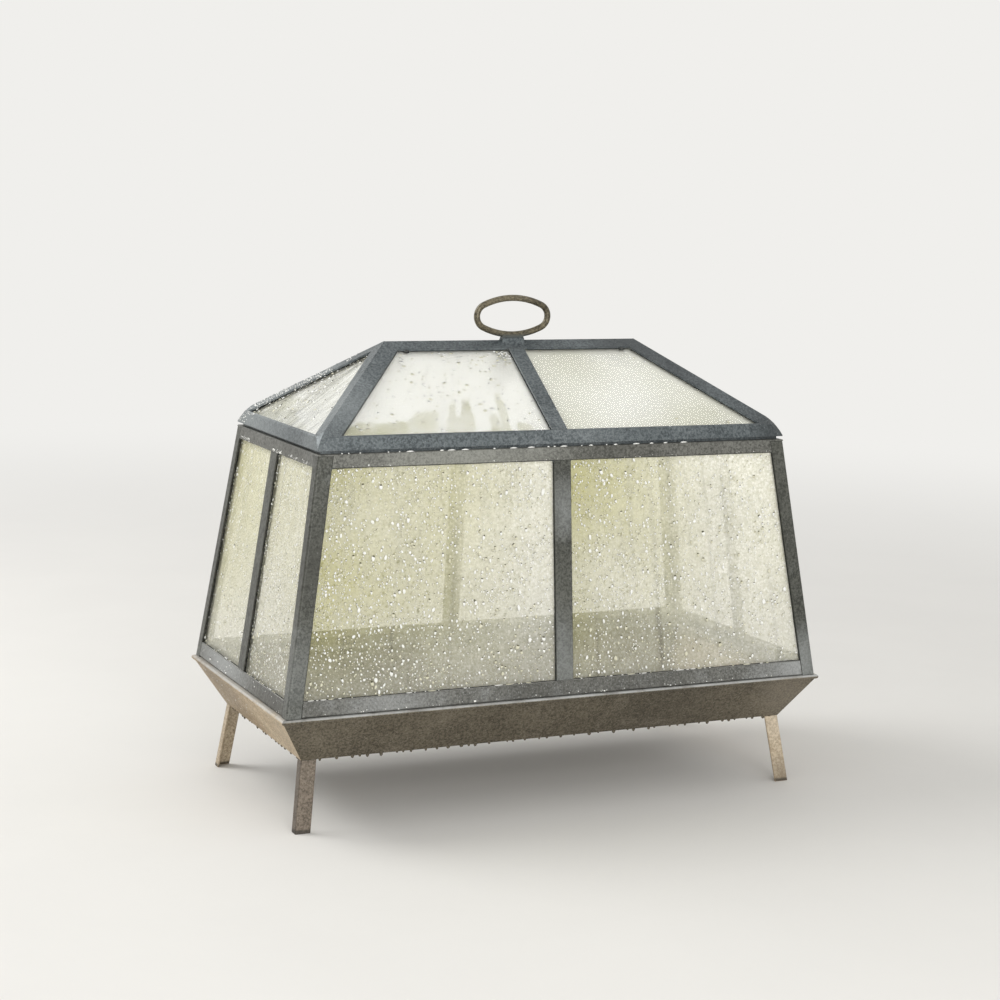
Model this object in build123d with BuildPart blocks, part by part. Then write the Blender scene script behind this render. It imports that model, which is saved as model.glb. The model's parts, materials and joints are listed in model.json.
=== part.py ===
from build123d import *
from math import atan2, degrees, hypot, sqrt
import os

# Tabletop plant house: a glazed box on a splay-legged tray, under a lift-off hipped lid.
# Millimetres. Origin on the ground at the middle of the footprint, +Z up.
# X runs along the ridge, and the front faces -Y.

# Tray
tray_floor_length = 511.0
tray_floor_depth = 227.0
tray_flare = 28.5           # how far the rim stands out past the floor, on every side
tray_rise = 46.5            # underside of the floor to the top of the ledge
tray_sheet = 1.5
ledge_width = 18.0
rim_bead = 4.6              # diameter of the rolled edge round the rim

# Legs, each a splayed angle
leg_height = 66.5
leg_front_flange = 15.0
leg_side_flange = 10.0
leg_sheet = 1.6
leg_splay_side = 9.0
leg_splay_front = 11.0
leg_fold = 1.2

# Glazed housing
ledge_show_side = 4.0       # ledge left showing beside the housing
ledge_show_front = 1.0
housing_height = 237.0
housing_lean_side = 36.0    # how far each end leans in from ledge to top
housing_lean_front = 22.0
flange_sheet = 1.6
post_front_flange = 14.5
post_side_flange = 12.5
post_fold = 2.2
top_rail_height = 12.4
top_lip_width = 11.0
bottom_rail_height = 14.5
bottom_lip_width = 10.0
rail_ledge_gap = 0.8        # the posts stand on the ledge, the rails just clear it
rail_fold = 1.4
mullion_width = 18.0
stem_width = 3.0
stem_past_glass = 3.0

# Glass
glass_sheet = 3.0
glass_bed = 0.2
glass_bite = 6.0            # how far a rail covers the edge of a pane
pane_corner_gap = 2.5       # a pane's edge to the pane round the corner
pane_stem_gap = 1.0

# Lid
lid_slit = 3.0              # slit left showing between housing and lid
lid_over_side = 0.5
lid_back_front = 1.5        # the lid's front edge stands this far behind the housing's
eave_band = 11.8
eave_lean = 3.0
eave_fold = 1.4
shelf_width = 9.0
ridge_length = 271.0
ridge_rise = 77.0
ridge_flange = 13.0
ridge_fold = 1.4
hip_front_flange = 15.6
hip_end_flange = 11.0
lid_bar_width = 16.8
hip_eave_gap = 0.3
pane_hip_gap = 6.0
skirt_inset = 4.5           # the lid stands on a skirt, this far in behind the eave's edge
dressed_run = 9.2           # how far in along the eaves the dressed-down corners reach
dressed_upright = 1.0       # height of each corner left upright under the dressing
nose_pane_gap = 0.5
nose_length = 8.0

# Ring handle
ring_width = 82.8
ring_height = 42.2
ring_stock = 6.2
ring_end_bend = 12.2        # bend radius at the two ends of the oval, to the middle of the bar
ring_lift = 2.0             # gap from the ridge to the underside of the ring
neck_width = 24.4
neck_waist = 1.0            # how far each side of the neck is drawn in

os.makedirs("parts", exist_ok=True)

# Heights
floor_base = leg_height
ledge_top = leg_height + tray_rise
housing_top = ledge_top + housing_height
eave_base = housing_top + lid_slit
fold_level = eave_base + eave_band
ridge_level = fold_level + ridge_rise

# Half sizes in plan
floor_x = tray_floor_length / 2
floor_y = tray_floor_depth / 2
rim_x = floor_x + tray_flare
rim_y = floor_y + tray_flare
base_x = rim_x - ledge_show_side
base_y = rim_y - ledge_show_front
top_x = base_x - housing_lean_side
top_y = base_y - housing_lean_front
eave_x = top_x + lid_over_side
eave_y = top_y - lid_back_front
fold_x = eave_x - eave_lean
fold_y = eave_y - eave_lean
ridge_x = ridge_length / 2

reach = 2 * (rim_x + ridge_level)
corners = {
    "front_left": (-1, -1),
    "front_right": (1, -1),
    "back_left": (-1, 1),
    "back_right": (1, 1),
}
facings = {"front": 0, "right": 90, "back": 180, "left": 270}


def face_on(angle):
    """Upright plane through the origin: x along the wall, y up, z outwards."""
    along = Vector(1, 0, 0).rotate(Axis.Z, angle)
    outward = Vector(0, -1, 0).rotate(Axis.Z, angle)
    return Plane(origin=(0, 0, 0), x_dir=along, z_dir=outward)


def cross_section(angle):
    """Upright plane through the middle of a wall: x outwards, y up."""
    along = Vector(1, 0, 0).rotate(Axis.Z, angle)
    outward = Vector(0, -1, 0).rotate(Axis.Z, angle)
    return Plane(origin=(0, 0, 0), x_dir=outward, z_dir=-along)


def plan_view(angle):
    """Ground plane turned to the wall: x along the wall, y away from the viewer, z up."""
    along = Vector(1, 0, 0).rotate(Axis.Z, angle)
    return Plane(origin=(0, 0, 0), x_dir=along, z_dir=(0, 0, 1))


def is_end(angle):
    return angle in (facings["left"], facings["right"])


def between(level, low, at_low, high, at_high):
    """Value on a straight slope at a level."""
    return at_low + (at_high - at_low) * (level - low) / (high - low)


def outline(plane, points, radii=None):
    """Face inside a closed outline on a plane, its corners sharp or rounded."""
    with BuildSketch(plane) as face:
        with BuildLine():
            if radii:
                FilletPolyline(*points, radius=radii, close=True)
            else:
                Polyline(*points, close=True)
        make_face()
    return face.sketch


def both_ways(points):
    """Outline that repeats the given right-hand points on the left."""
    return points + [(-x, y) for x, y in reversed(points)]


def mitred(angle, half_length, out, margin):
    """Plan of one side, its ends cut at 45 degrees through the corners."""
    points = both_ways([(half_length + margin, -out - margin), (half_length - margin, -out + margin)])
    return outline(plan_view(angle), points)


def bent_angle(level, corner, signs, flanges, sheets, fold):
    """Section of a bent angle at a level, its outer corner at a point."""
    steps = (
        (0, 0),
        (flanges[0], 0),
        (flanges[0], sheets[1]),
        (sheets[0], sheets[1]),
        (sheets[0], flanges[1]),
        (0, flanges[1]),
    )
    points = [(signs[0] * (corner[0] - dx), signs[1] * (corner[1] - dy)) for dx, dy in steps]
    return outline(Plane.XY.offset(level), points, [fold, 0, 0, 0, 0, 0])


def finish(piece, name):
    piece.part.label = name
    export_step(piece.part, f"parts/{name}.step")


# Tray floor, its edges bevelled to the slope of the walls
bead_radius = rim_bead / 2
wall_run = tray_flare - bead_radius / 2
wall_rise = tray_rise - bead_radius
wall_slope = degrees(atan2(wall_run, wall_rise))
wall_sheet_level = tray_sheet * hypot(wall_run, wall_rise) / wall_rise
with BuildPart() as tray_floor:
    with BuildSketch(Plane.XY.offset(floor_base)):
        Rectangle(2 * (floor_x - wall_sheet_level), 2 * (floor_y - wall_sheet_level))
    extrude(amount=tray_sheet, taper=-wall_slope)
finish(tray_floor, "tray_floor")


# Tray walls, mitred at the corners, each with its ledge and rolled rim
bead_level = floor_base + wall_rise
for side, angle in facings.items():
    foot = floor_x if is_end(angle) else floor_y
    half_length = floor_y if is_end(angle) else floor_x
    bead_out = foot + tray_flare - bead_radius
    with BuildPart() as tray_wall:
        with BuildSketch(cross_section(angle)):
            with BuildLine():
                Polyline(
                    (foot, floor_base),
                    (foot + wall_run, bead_level),
                    (foot + wall_run - wall_sheet_level, bead_level),
                    (foot - wall_sheet_level, floor_base),
                    close=True,
                )
            make_face()
            with Locations((bead_out, bead_level)):
                Circle(bead_radius)
            with Locations((bead_out, ledge_top)):
                Rectangle(ledge_width - bead_radius, tray_sheet, align=(Align.MAX, Align.MAX))
        extrude(amount=reach, both=True)
        mitre = mitred(angle, half_length, foot, 2 * tray_flare)
        extrude(mitre, amount=reach, mode=Mode.INTERSECT)
    finish(tray_wall, f"tray_{side}_wall")


# Splayed angle legs under the floor's corners
for corner, signs in corners.items():
    with BuildPart() as leg:
        section = bent_angle(
            floor_base,
            (floor_x, floor_y),
            signs,
            (leg_front_flange, leg_side_flange),
            (leg_sheet, leg_sheet),
            leg_fold,
        )
        splay = Vector(signs[0] * leg_splay_side, signs[1] * leg_splay_front, -leg_height)
        extrude(section, amount=splay.length, dir=splay)
    finish(leg, f"leg_{corner}")


# Corner posts of the housing, standing on the ledge and leaning in on both sides
front_sheet_level = flange_sheet * hypot(housing_lean_front, housing_height) / housing_height
side_sheet_level = flange_sheet * hypot(housing_lean_side, housing_height) / housing_height
post_share = (housing_height - flange_sheet) / housing_height
for corner, signs in corners.items():
    with BuildPart() as post:
        section = bent_angle(
            ledge_top,
            (base_x, base_y),
            signs,
            (post_front_flange, post_side_flange),
            (side_sheet_level, front_sheet_level),
            post_fold,
        )
        lean = Vector(-signs[0] * housing_lean_side, -signs[1] * housing_lean_front, housing_height)
        extrude(section, amount=post_share * lean.length, dir=lean)
    finish(post, f"post_{corner}")


# Rails, mullion and panes of each housing wall
glass_front = flange_sheet + glass_bed
glass_back = glass_front + glass_sheet
stem_depth = glass_back + stem_past_glass
lip_level = housing_top - flange_sheet
header_base = housing_top - top_rail_height
rail_base = ledge_top + rail_ledge_gap
rail_top = rail_base + bottom_rail_height
pane_base = rail_top - glass_bite
pane_top = header_base + glass_bite
pane_edge = glass_back + pane_corner_gap
for side, angle in facings.items():
    base_out = base_x if is_end(angle) else base_y
    top_out = top_x if is_end(angle) else top_y
    base_half = base_y if is_end(angle) else base_x
    top_half = top_y if is_end(angle) else top_x
    flange = post_side_flange if is_end(angle) else post_front_flange
    stretch = hypot(base_out - top_out, housing_height) / housing_height

    def behind(level, depth=0.0):
        """Point at a level, a depth behind the wall's outer face."""
        out = between(level, ledge_top, base_out, housing_top, top_out)
        return out - depth * stretch, level

    def along(level, inset=0.0):
        """Point at a level, inset from the wall's right-hand end."""
        return between(level, ledge_top, base_half, housing_top, top_half) - inset, level

    with BuildPart() as top_rail:
        lip_out = top_out - top_lip_width
        section = [
            behind(housing_top),
            behind(header_base),
            behind(header_base, flange_sheet),
            behind(lip_level, flange_sheet),
            (lip_out, lip_level),
            (lip_out, housing_top),
        ]
        extrude(
            outline(cross_section(angle), section, [rail_fold, 0, 0, 0, 0, 0]),
            amount=reach,
            both=True,
        )
        front = [
            along(header_base, flange),
            along(lip_level, flange),
            along(lip_level),
            along(housing_top),
        ]
        extrude(outline(face_on(angle), both_ways(front)), amount=reach, mode=Mode.INTERSECT)
        mitre = mitred(angle, top_half, top_out, 2 * top_lip_width)
        extrude(mitre, amount=reach, mode=Mode.INTERSECT)
    finish(top_rail, f"top_rail_{side}")

    with BuildPart() as bottom_rail:
        lip_out = behind(rail_base)[0] - bottom_lip_width
        section = [
            behind(rail_base),
            behind(rail_top),
            behind(rail_top, flange_sheet),
            behind(rail_base + flange_sheet, flange_sheet),
            (lip_out, rail_base + flange_sheet),
            (lip_out, rail_base),
        ]
        extrude(
            outline(cross_section(angle), section, [rail_fold, 0, 0, 0, 0, 0]),
            amount=reach,
            both=True,
        )
        front = [along(rail_base, flange), along(rail_top, flange)]
        extrude(outline(face_on(angle), both_ways(front)), amount=reach, mode=Mode.INTERSECT)
        mitre = mitred(angle, base_half, base_out, 2 * bottom_lip_width)
        extrude(mitre, amount=reach, mode=Mode.INTERSECT)
    finish(bottom_rail, f"bottom_rail_{side}")

    with BuildPart() as mullion:
        for depth, width in ((flange_sheet, mullion_width), (stem_depth, stem_width)):
            section = [
                behind(rail_top),
                behind(header_base),
                behind(header_base, depth),
                behind(rail_top, depth),
            ]
            extrude(outline(cross_section(angle), section), amount=width / 2, both=True)
    finish(mullion, f"mullion_{side}")

    with BuildPart() as glass:
        section = [
            behind(pane_base, glass_front),
            behind(pane_top, glass_front),
            behind(pane_top, glass_back),
            behind(pane_base, glass_back),
        ]
        extrude(outline(cross_section(angle), section), amount=reach, both=True)
        front = [along(pane_base, pane_edge), along(pane_top, pane_edge)]
        extrude(outline(face_on(angle), both_ways(front)), amount=reach, mode=Mode.INTERSECT)
        gap = stem_width / 2 + pane_stem_gap
        slot = both_ways([(gap, pane_base), (gap, pane_top)])
        extrude(outline(face_on(angle), slot), amount=reach, mode=Mode.SUBTRACT)
    finish(glass, f"glass_{side}")


# Roof slopes of the lid: run is a slope's width in plan, length its width up the slope
front_run = fold_y
end_run = fold_x - ridge_x
front_length = hypot(front_run, ridge_rise)
end_length = hypot(end_run, ridge_rise)
ridge_flange_run = ridge_flange * front_run / front_length
hip_front_run = hip_front_flange * hypot(end_run, front_length) / front_length
hip_end_run = hip_end_flange * hypot(front_run, end_length) / end_length
band_sheet_level = flange_sheet * hypot(eave_lean, eave_band) / eave_band


def slope_of(angle):
    """Fold's distance out, run and length of the slope over one side."""
    if is_end(angle):
        return fold_x, end_run, end_length
    return fold_y, front_run, front_length


def slope_slab(angle, upper, lower):
    """Section of a sheet lying between two depths below one roof slope."""
    fold_out, run, length = slope_of(angle)
    inner = fold_out - run
    steepness = length / run
    points = [
        (fold_out, fold_level - upper * steepness),
        (inner, ridge_level - upper * steepness),
        (inner, ridge_level - lower * steepness),
        (fold_out, fold_level - lower * steepness),
    ]
    return outline(cross_section(angle), points)


def hip_x(y):
    """Distance along the ridge to the hip line, at a distance out to the front."""
    return ridge_x + end_run * y / front_run


def hip_y(x):
    return (x - ridge_x) * front_run / end_run


# Ridge bar, bent over the ridge, its ends mitred to the hips
ridge_inner_x = hip_x(ridge_flange_run) - hip_front_run
with BuildPart() as ridge_bar:
    extrude(slope_slab(facings["front"], 0, flange_sheet), amount=reach, both=True)
    extrude(slope_slab(facings["back"], 0, flange_sheet), amount=reach, both=True)
    right_half = [
        (ridge_inner_x, -ridge_flange_run),
        (ridge_x, 0),
        (ridge_inner_x, ridge_flange_run),
    ]
    extrude(outline(Plane.XY, both_ways(right_half)), amount=reach, mode=Mode.INTERSECT)
    fillet(ridge_bar.edges().filter_by(Axis.X).sort_by(Axis.Z)[-1], ridge_fold)
finish(ridge_bar, "ridge_bar")


# What is dressed off the lid's corners, where the hips run down to the eaves
dressed_head = Vector(
    -dressed_run * (1 + front_run / end_run) / sqrt(2),
    dressed_run * ridge_rise / end_run,
)
dressed_foot = Vector(
    sqrt(2) * eave_lean * (1 - dressed_upright / eave_band),
    dressed_upright - eave_band,
)
past_ends = dressed_head - dressed_foot
with BuildPart() as corner_offcuts:
    for signs in corners.values():
        tip = (signs[0] * fold_x, signs[1] * fold_y, fold_level)
        diagonal = Plane(origin=tip, x_dir=(*signs, 0), z_dir=(signs[1], -signs[0], 0))
        low = dressed_foot - past_ends
        high = dressed_head + past_ends
        offcut = [(low.X, low.Y), (high.X, high.Y), (low.X, high.Y)]
        extrude(outline(diagonal, offcut), amount=2 * dressed_run, both=True)


# Hip bars, each bent over the line where two slopes meet, with a solid nose at the foot
# that is dressed down with the eaves
glaze_y = fold_y - band_sheet_level - hip_eave_gap
glaze_x = fold_x - band_sheet_level - hip_eave_gap
nose_width = pane_hip_gap - nose_pane_gap
front_flange = [
    (ridge_x, 0),
    (ridge_inner_x, ridge_flange_run),
    (hip_x(glaze_y) - hip_front_run, glaze_y),
    (hip_x(glaze_y), glaze_y),
]
front_nose = [
    (hip_x(glaze_y), glaze_y),
    (hip_x(glaze_y) - nose_width, glaze_y),
    (hip_x(glaze_y - nose_length) - nose_width, glaze_y - nose_length),
    (hip_x(glaze_y - nose_length), glaze_y - nose_length),
]
end_flange = [
    (ridge_x, 0),
    (glaze_x, hip_y(glaze_x)),
    (glaze_x, hip_y(glaze_x) - hip_end_run),
    (hip_x(hip_end_run), 0),
]
end_nose = [
    (glaze_x, hip_y(glaze_x)),
    (glaze_x, hip_y(glaze_x) - nose_width),
    (glaze_x - nose_length, hip_y(glaze_x - nose_length) - nose_width),
    (glaze_x - nose_length, hip_y(glaze_x - nose_length)),
]
for corner, signs in corners.items():
    long_side = facings["front" if signs[1] < 0 else "back"]
    end_side = facings["left" if signs[0] < 0 else "right"]
    with BuildPart() as hip:
        for angle, plan, depth in (
            (long_side, front_flange, flange_sheet),
            (long_side, front_nose, glass_back),
            (end_side, end_flange, flange_sheet),
            (end_side, end_nose, glass_back),
        ):
            with BuildPart(mode=Mode.PRIVATE) as flange_piece:
                extrude(slope_slab(angle, 0, depth), amount=reach, both=True)
                mirrored = [(signs[0] * x, signs[1] * y) for x, y in plan]
                extrude(outline(Plane.XY, mirrored), amount=reach, mode=Mode.INTERSECT)
            add(flange_piece.part)
        add(corner_offcuts.part, mode=Mode.SUBTRACT)
    finish(hip, f"hip_{corner}")


# Glazing bars down the middle of the front and back slopes
shelf_run = shelf_width * front_run / front_length
for side in ("front", "back"):
    with BuildPart() as lid_stem:
        extrude(slope_slab(facings[side], 0, stem_depth), amount=reach, both=True)
        strip = [(stem_width / 2, -glaze_y + shelf_run), (stem_width / 2, -ridge_flange_run)]
        plan = outline(plan_view(facings[side]), both_ways(strip))
        extrude(plan, amount=reach, mode=Mode.INTERSECT)
    with BuildPart() as lid_bar:
        extrude(slope_slab(facings[side], 0, flange_sheet), amount=reach, both=True)
        strip = [(lid_bar_width / 2, -glaze_y), (lid_bar_width / 2, -ridge_flange_run)]
        plan = outline(plan_view(facings[side]), both_ways(strip))
        extrude(plan, amount=reach, mode=Mode.INTERSECT)
        add(lid_stem.part)
    finish(lid_bar, f"lid_bar_{side}")


# Lid panes: two to the front and back, and a triangle at each end
pane_head_y = ridge_flange_run - glass_bite * front_run / front_length
for side, angle in facings.items():
    with BuildPart() as lid_glass:
        extrude(slope_slab(angle, glass_front, glass_back), amount=reach, both=True)
        if is_end(angle):
            half = hip_y(glaze_x) - pane_hip_gap
            plan = [(half, -glaze_x), (0, -hip_x(pane_hip_gap)), (-half, -glaze_x)]
            extrude(outline(plan_view(angle), plan), amount=reach, mode=Mode.INTERSECT)
        else:
            right_half = [
                (hip_x(glaze_y) - pane_hip_gap, -glaze_y),
                (hip_x(pane_head_y) - pane_hip_gap, -pane_head_y),
            ]
            plan = outline(plan_view(angle), both_ways(right_half))
            extrude(plan, amount=reach, mode=Mode.INTERSECT)
            gap = stem_width / 2 + pane_stem_gap
            slot = outline(plan_view(angle), both_ways([(gap, -fold_y), (gap, 0)]))
            extrude(slot, amount=reach, mode=Mode.SUBTRACT)
    finish(lid_glass, f"lid_glass_{side}")


# Eave rails: a steep band, a shelf under the glass, and a skirt that stands on the housing
lean_rate = eave_lean / eave_band
for side, angle in facings.items():
    fold_out, run, length = slope_of(angle)
    half_length = fold_y if is_end(angle) else fold_x
    fall = ridge_rise / run
    eave_out = fold_out + eave_lean

    def band_back(depth):
        """Point on the back of the band, a depth below the roof slope."""
        drop = (depth * length / run - band_sheet_level * fall) / (1 - lean_rate * fall)
        return Vector(fold_out + lean_rate * drop - band_sheet_level, fold_level - drop)

    shelf_top = band_back(glass_back + glass_bed)
    shelf_under = band_back(glass_back + glass_bed + flange_sheet)
    lip_top = shelf_top + Vector(-run, ridge_rise) * (shelf_width / length)
    lip_under = lip_top - Vector(ridge_rise, run) * (flange_sheet / length)
    skirt_out = eave_out - skirt_inset
    skirt_in = skirt_out - flange_sheet
    section = [
        (fold_out, fold_level),
        (fold_out - band_sheet_level, fold_level + band_sheet_level * fall),
        (shelf_top.X, shelf_top.Y),
        (lip_top.X, lip_top.Y),
        (lip_under.X, lip_under.Y),
        (skirt_in, shelf_under.Y + fall * (shelf_under.X - skirt_in)),
        (skirt_in, housing_top),
        (skirt_out, housing_top),
        (skirt_out, shelf_under.Y + fall * (shelf_under.X - skirt_out)),
        (shelf_under.X, shelf_under.Y),
        (eave_out - band_sheet_level, eave_base),
        (eave_out, eave_base),
    ]
    folds = [eave_fold] + [0] * (len(section) - 1)
    with BuildPart() as eave_rail:
        extrude(outline(cross_section(angle), section, folds), amount=reach, both=True)
        mitre = mitred(angle, half_length, fold_out, 2 * eave_band)
        extrude(mitre, amount=reach, mode=Mode.INTERSECT)
        add(corner_offcuts.part, mode=Mode.SUBTRACT)
    finish(eave_rail, f"eave_{side}")


# Ring handle: a round bar bent to an oval of four tangent arcs, on a drawn-in neck
# that is notched over the ridge
ring_radius_x = (ring_width - ring_stock) / 2
ring_radius_z = (ring_height - ring_stock) / 2
ring_level = ridge_level + ring_lift + ring_height / 2
end_centre = ring_radius_x - ring_end_bend
flat_bend = (end_centre**2 + ring_radius_z**2 - ring_end_bend**2) / (2 * (ring_radius_z - ring_end_bend))
flat_centre = flat_bend - ring_radius_z
flat_turn = degrees(atan2(end_centre, flat_centre))
neck_half = neck_width / 2
neck_top = ring_level - ring_radius_z + neck_half**2 / (2 * flat_bend)
neck_base = ridge_level - ring_stock
neck_middle = (neck_top + ridge_level) / 2
with BuildPart() as ring_handle:
    with BuildLine(Plane.XZ) as half_ring:
        CenterArc((0, ring_level + flat_centre), flat_bend, -90, flat_turn)
        CenterArc((end_centre, ring_level), ring_end_bend, flat_turn - 90, 180 - 2 * flat_turn)
        CenterArc((0, ring_level - flat_centre), flat_bend, 90 - flat_turn, flat_turn)
    with BuildSketch(Plane(origin=(0, 0, ring_level - ring_radius_z), z_dir=(1, 0, 0))):
        Circle(ring_stock / 2)
    sweep(path=half_ring.wires()[0])
    mirror(about=Plane.YZ)
    with BuildSketch(Plane.XZ):
        with BuildLine():
            Line((-neck_half, neck_base), (neck_half, neck_base))
            ThreePointArc(
                (neck_half, neck_base),
                (neck_half - neck_waist, neck_middle),
                (neck_half, neck_top),
            )
            Line((neck_half, neck_top), (-neck_half, neck_top))
            ThreePointArc(
                (-neck_half, neck_top),
                (neck_waist - neck_half, neck_middle),
                (-neck_half, neck_base),
            )
        make_face()
    extrude(amount=ring_stock / 2, both=True)
    gable = [(-fold_y, fold_level), (0, ridge_level), (fold_y, fold_level)]
    extrude(
        outline(cross_section(facings["front"]), gable),
        amount=reach,
        both=True,
        mode=Mode.SUBTRACT,
    )
finish(ring_handle, "ring_handle")
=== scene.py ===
import json
import math
import random

import bmesh
import bpy
import numpy as np
from mathutils import Matrix, Vector, noise
from mathutils.bvhtree import BVHTree


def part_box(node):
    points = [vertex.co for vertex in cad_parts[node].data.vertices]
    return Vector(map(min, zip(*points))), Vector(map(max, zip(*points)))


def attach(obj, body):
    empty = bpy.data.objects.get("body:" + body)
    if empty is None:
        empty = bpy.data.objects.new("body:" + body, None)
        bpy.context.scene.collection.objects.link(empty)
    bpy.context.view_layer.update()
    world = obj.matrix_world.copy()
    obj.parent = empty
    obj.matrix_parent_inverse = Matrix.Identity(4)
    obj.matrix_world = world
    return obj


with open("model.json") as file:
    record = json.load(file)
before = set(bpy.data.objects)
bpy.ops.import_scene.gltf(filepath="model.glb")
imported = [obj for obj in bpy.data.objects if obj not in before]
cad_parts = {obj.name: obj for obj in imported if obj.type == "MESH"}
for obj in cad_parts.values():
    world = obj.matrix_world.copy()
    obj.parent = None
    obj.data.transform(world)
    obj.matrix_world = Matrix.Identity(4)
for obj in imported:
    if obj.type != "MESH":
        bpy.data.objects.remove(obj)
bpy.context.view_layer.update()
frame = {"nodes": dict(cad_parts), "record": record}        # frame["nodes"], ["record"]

nodes = frame["nodes"]
bodies = frame["record"]["behaviour"]["bodies"]
bodyOf = {node: body for body, members in bodies.items() for node in members}
scene = bpy.context.scene
mm = 0.001
up = Vector((0, 0, 1))
middle = Vector((0, 0, 0.2))     # a point inside the case, to tell outside from inside
sides = ("front", "right", "back", "left")


def srgb(red, green, blue):
    # a colour as a paint program gives it, turned into Blender's linear one
    def linear(c):
        c /= 255
        return c / 12.92 if c <= 0.04045 else ((c + 0.055) / 1.055) ** 2.4
    return (linear(red), linear(green), linear(blue), 1.0)


# Node helpers

def feed(tree, node, inputs):
    # sets or links a node's inputs by name or number
    for key, value in inputs.items():
        if isinstance(value, bpy.types.NodeSocket):
            tree.links.new(value, node.inputs[key])
        else:
            node.inputs[key].default_value = value


def wire(tree, kind, inputs={}, **settings):
    node = tree.nodes.new(kind)
    for key, value in settings.items():
        setattr(node, key, value)
    feed(tree, node, inputs)
    return node


def maths(tree, operation, a, b=0.0, clamp=False):
    return wire(tree, "ShaderNodeMath", {0: a, 1: b}, operation=operation, use_clamp=clamp).outputs[0]


def fade(tree, value, low, high, outLow=0.0, outHigh=1.0):
    inputs = {"Value": value, "From Min": low, "From Max": high, "To Min": outLow, "To Max": outHigh}
    return wire(tree, "ShaderNodeMapRange", inputs, interpolation_type="SMOOTHSTEP").outputs[0]


def blendColours(tree, factor, a, b, kind="MIX"):
    return wire(tree, "ShaderNodeMix", {0: factor, 6: a, 7: b}, data_type="RGBA", blend_type=kind).outputs[2]


def stretched(tree, vector, scale, shift=(0, 0, 0)):
    return wire(tree, "ShaderNodeMapping", {"Vector": vector, "Scale": scale, "Location": shift}).outputs[0]


def newGroup(name, inputs, outputs):
    # every group takes a place first; then a number makes a float socket and three make a vector
    group = bpy.data.node_groups.new(name, "ShaderNodeTree")
    for label, value in {"Vector": (0, 0, 0), **inputs}.items():
        kind = "NodeSocketFloat" if isinstance(value, float) else "NodeSocketVector"
        group.interface.new_socket(name=label, in_out="INPUT", socket_type=kind).default_value = value
    for label in outputs:
        group.interface.new_socket(name=label, in_out="OUTPUT", socket_type="NodeSocketFloat")
    return group, group.nodes.new("NodeGroupInput").outputs, group.nodes.new("NodeGroupOutput")


def useGroup(tree, group, inputs):
    return wire(tree, "ShaderNodeGroup", inputs, node_tree=group).outputs


# Shared effects

def makePatches():
    # soft-edged patches: stains, blooms, mottling
    group, given, out = newGroup("patches", {"Size": 0.03, "Cover": 0.5, "Soft": 0.1}, ["Mask"])
    scale = maths(group, "DIVIDE", 1.0, given["Size"])
    cloud = wire(group, "ShaderNodeTexNoise", {
        "Vector": given["Vector"], "Scale": scale, "Detail": 6.0, "Roughness": 0.62, "Distortion": 0.35,
    }).outputs[0]
    edge = maths(group, "SUBTRACT", 0.78, maths(group, "MULTIPLY", given["Cover"], 0.56))
    low = maths(group, "SUBTRACT", edge, given["Soft"])
    high = maths(group, "ADD", edge, given["Soft"])
    group.links.new(fade(group, cloud, low, high), out.inputs["Mask"])
    return group


def makePits():
    # small round pits and specks, with their depth
    group, given, out = newGroup("pits", {"Spacing": 0.004, "Size": 0.25, "Share": 0.3}, ["Mask", "Depth"])
    scale = maths(group, "DIVIDE", 1.0, given["Spacing"])
    cells = wire(group, "ShaderNodeTexVoronoi", {"Vector": given["Vector"], "Scale": scale})
    pick = wire(group, "ShaderNodeSeparateColor", {0: cells.outputs["Color"]}).outputs[0]
    chosen = maths(group, "LESS_THAN", pick, given["Share"])
    spread = maths(group, "ADD", 0.5, maths(group, "MULTIPLY", pick, 2.0))
    size = maths(group, "MULTIPLY", given["Size"], spread)
    hollow = fade(group, cells.outputs["Distance"], maths(group, "MULTIPLY", size, 0.35), size, 1.0, 0.0)
    mask = maths(group, "MULTIPLY", hollow, chosen)
    group.links.new(mask, out.inputs["Mask"])
    group.links.new(maths(group, "MULTIPLY", mask, -1.0), out.inputs["Depth"])
    return group


def makeRuns():
    # stains that ran down with the rain
    group, given, out = newGroup("runs", {"Width": 0.006, "Cover": 0.4}, ["Mask"])
    tall = stretched(group, given["Vector"], (1, 1, 0.09))
    scale = maths(group, "DIVIDE", 1.0, given["Width"])
    streaks = wire(group, "ShaderNodeTexNoise", {
        "Vector": tall, "Scale": scale, "Detail": 4.0, "Roughness": 0.55, "Distortion": 0.2}).outputs[0]
    edge = maths(group, "SUBTRACT", 0.72, maths(group, "MULTIPLY", given["Cover"], 0.44))
    high = maths(group, "ADD", edge, 0.16)
    group.links.new(fade(group, streaks, edge, high), out.inputs["Mask"])
    return group


def makeSpangle():
    # the faint crystal cells of a zinc coat
    group, given, out = newGroup("spangle", {"Size": 0.006}, ["Tone"])
    scale = maths(group, "DIVIDE", 1.0, given["Size"])
    bent = wire(group, "ShaderNodeTexNoise", {"Vector": given["Vector"], "Scale": scale, "Detail": 2.0})
    moved = wire(group, "ShaderNodeVectorMath", {0: bent.outputs["Color"], "Scale": 0.004}, operation="SCALE")
    vector = wire(group, "ShaderNodeVectorMath", {0: given["Vector"], 1: moved.outputs[0]}, operation="ADD")
    cells = wire(group, "ShaderNodeTexVoronoi", {"Vector": vector.outputs[0], "Scale": scale})
    tone = wire(group, "ShaderNodeSeparateColor", {0: cells.outputs["Color"]}).outputs[1]
    group.links.new(tone, out.inputs["Tone"])
    return group


def makeZone():
    # a soft round area about one place on the case
    group, given, out = newGroup("zone", {"Centre": (0, 0, 0), "Radius": 0.1}, ["Mask"])
    away = wire(group, "ShaderNodeVectorMath", {0: given["Vector"], 1: given["Centre"]}, operation="DISTANCE")
    group.links.new(fade(group, away.outputs["Value"], 0.0, given["Radius"], 1.0, 0.0), out.inputs["Mask"])
    return group


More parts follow.
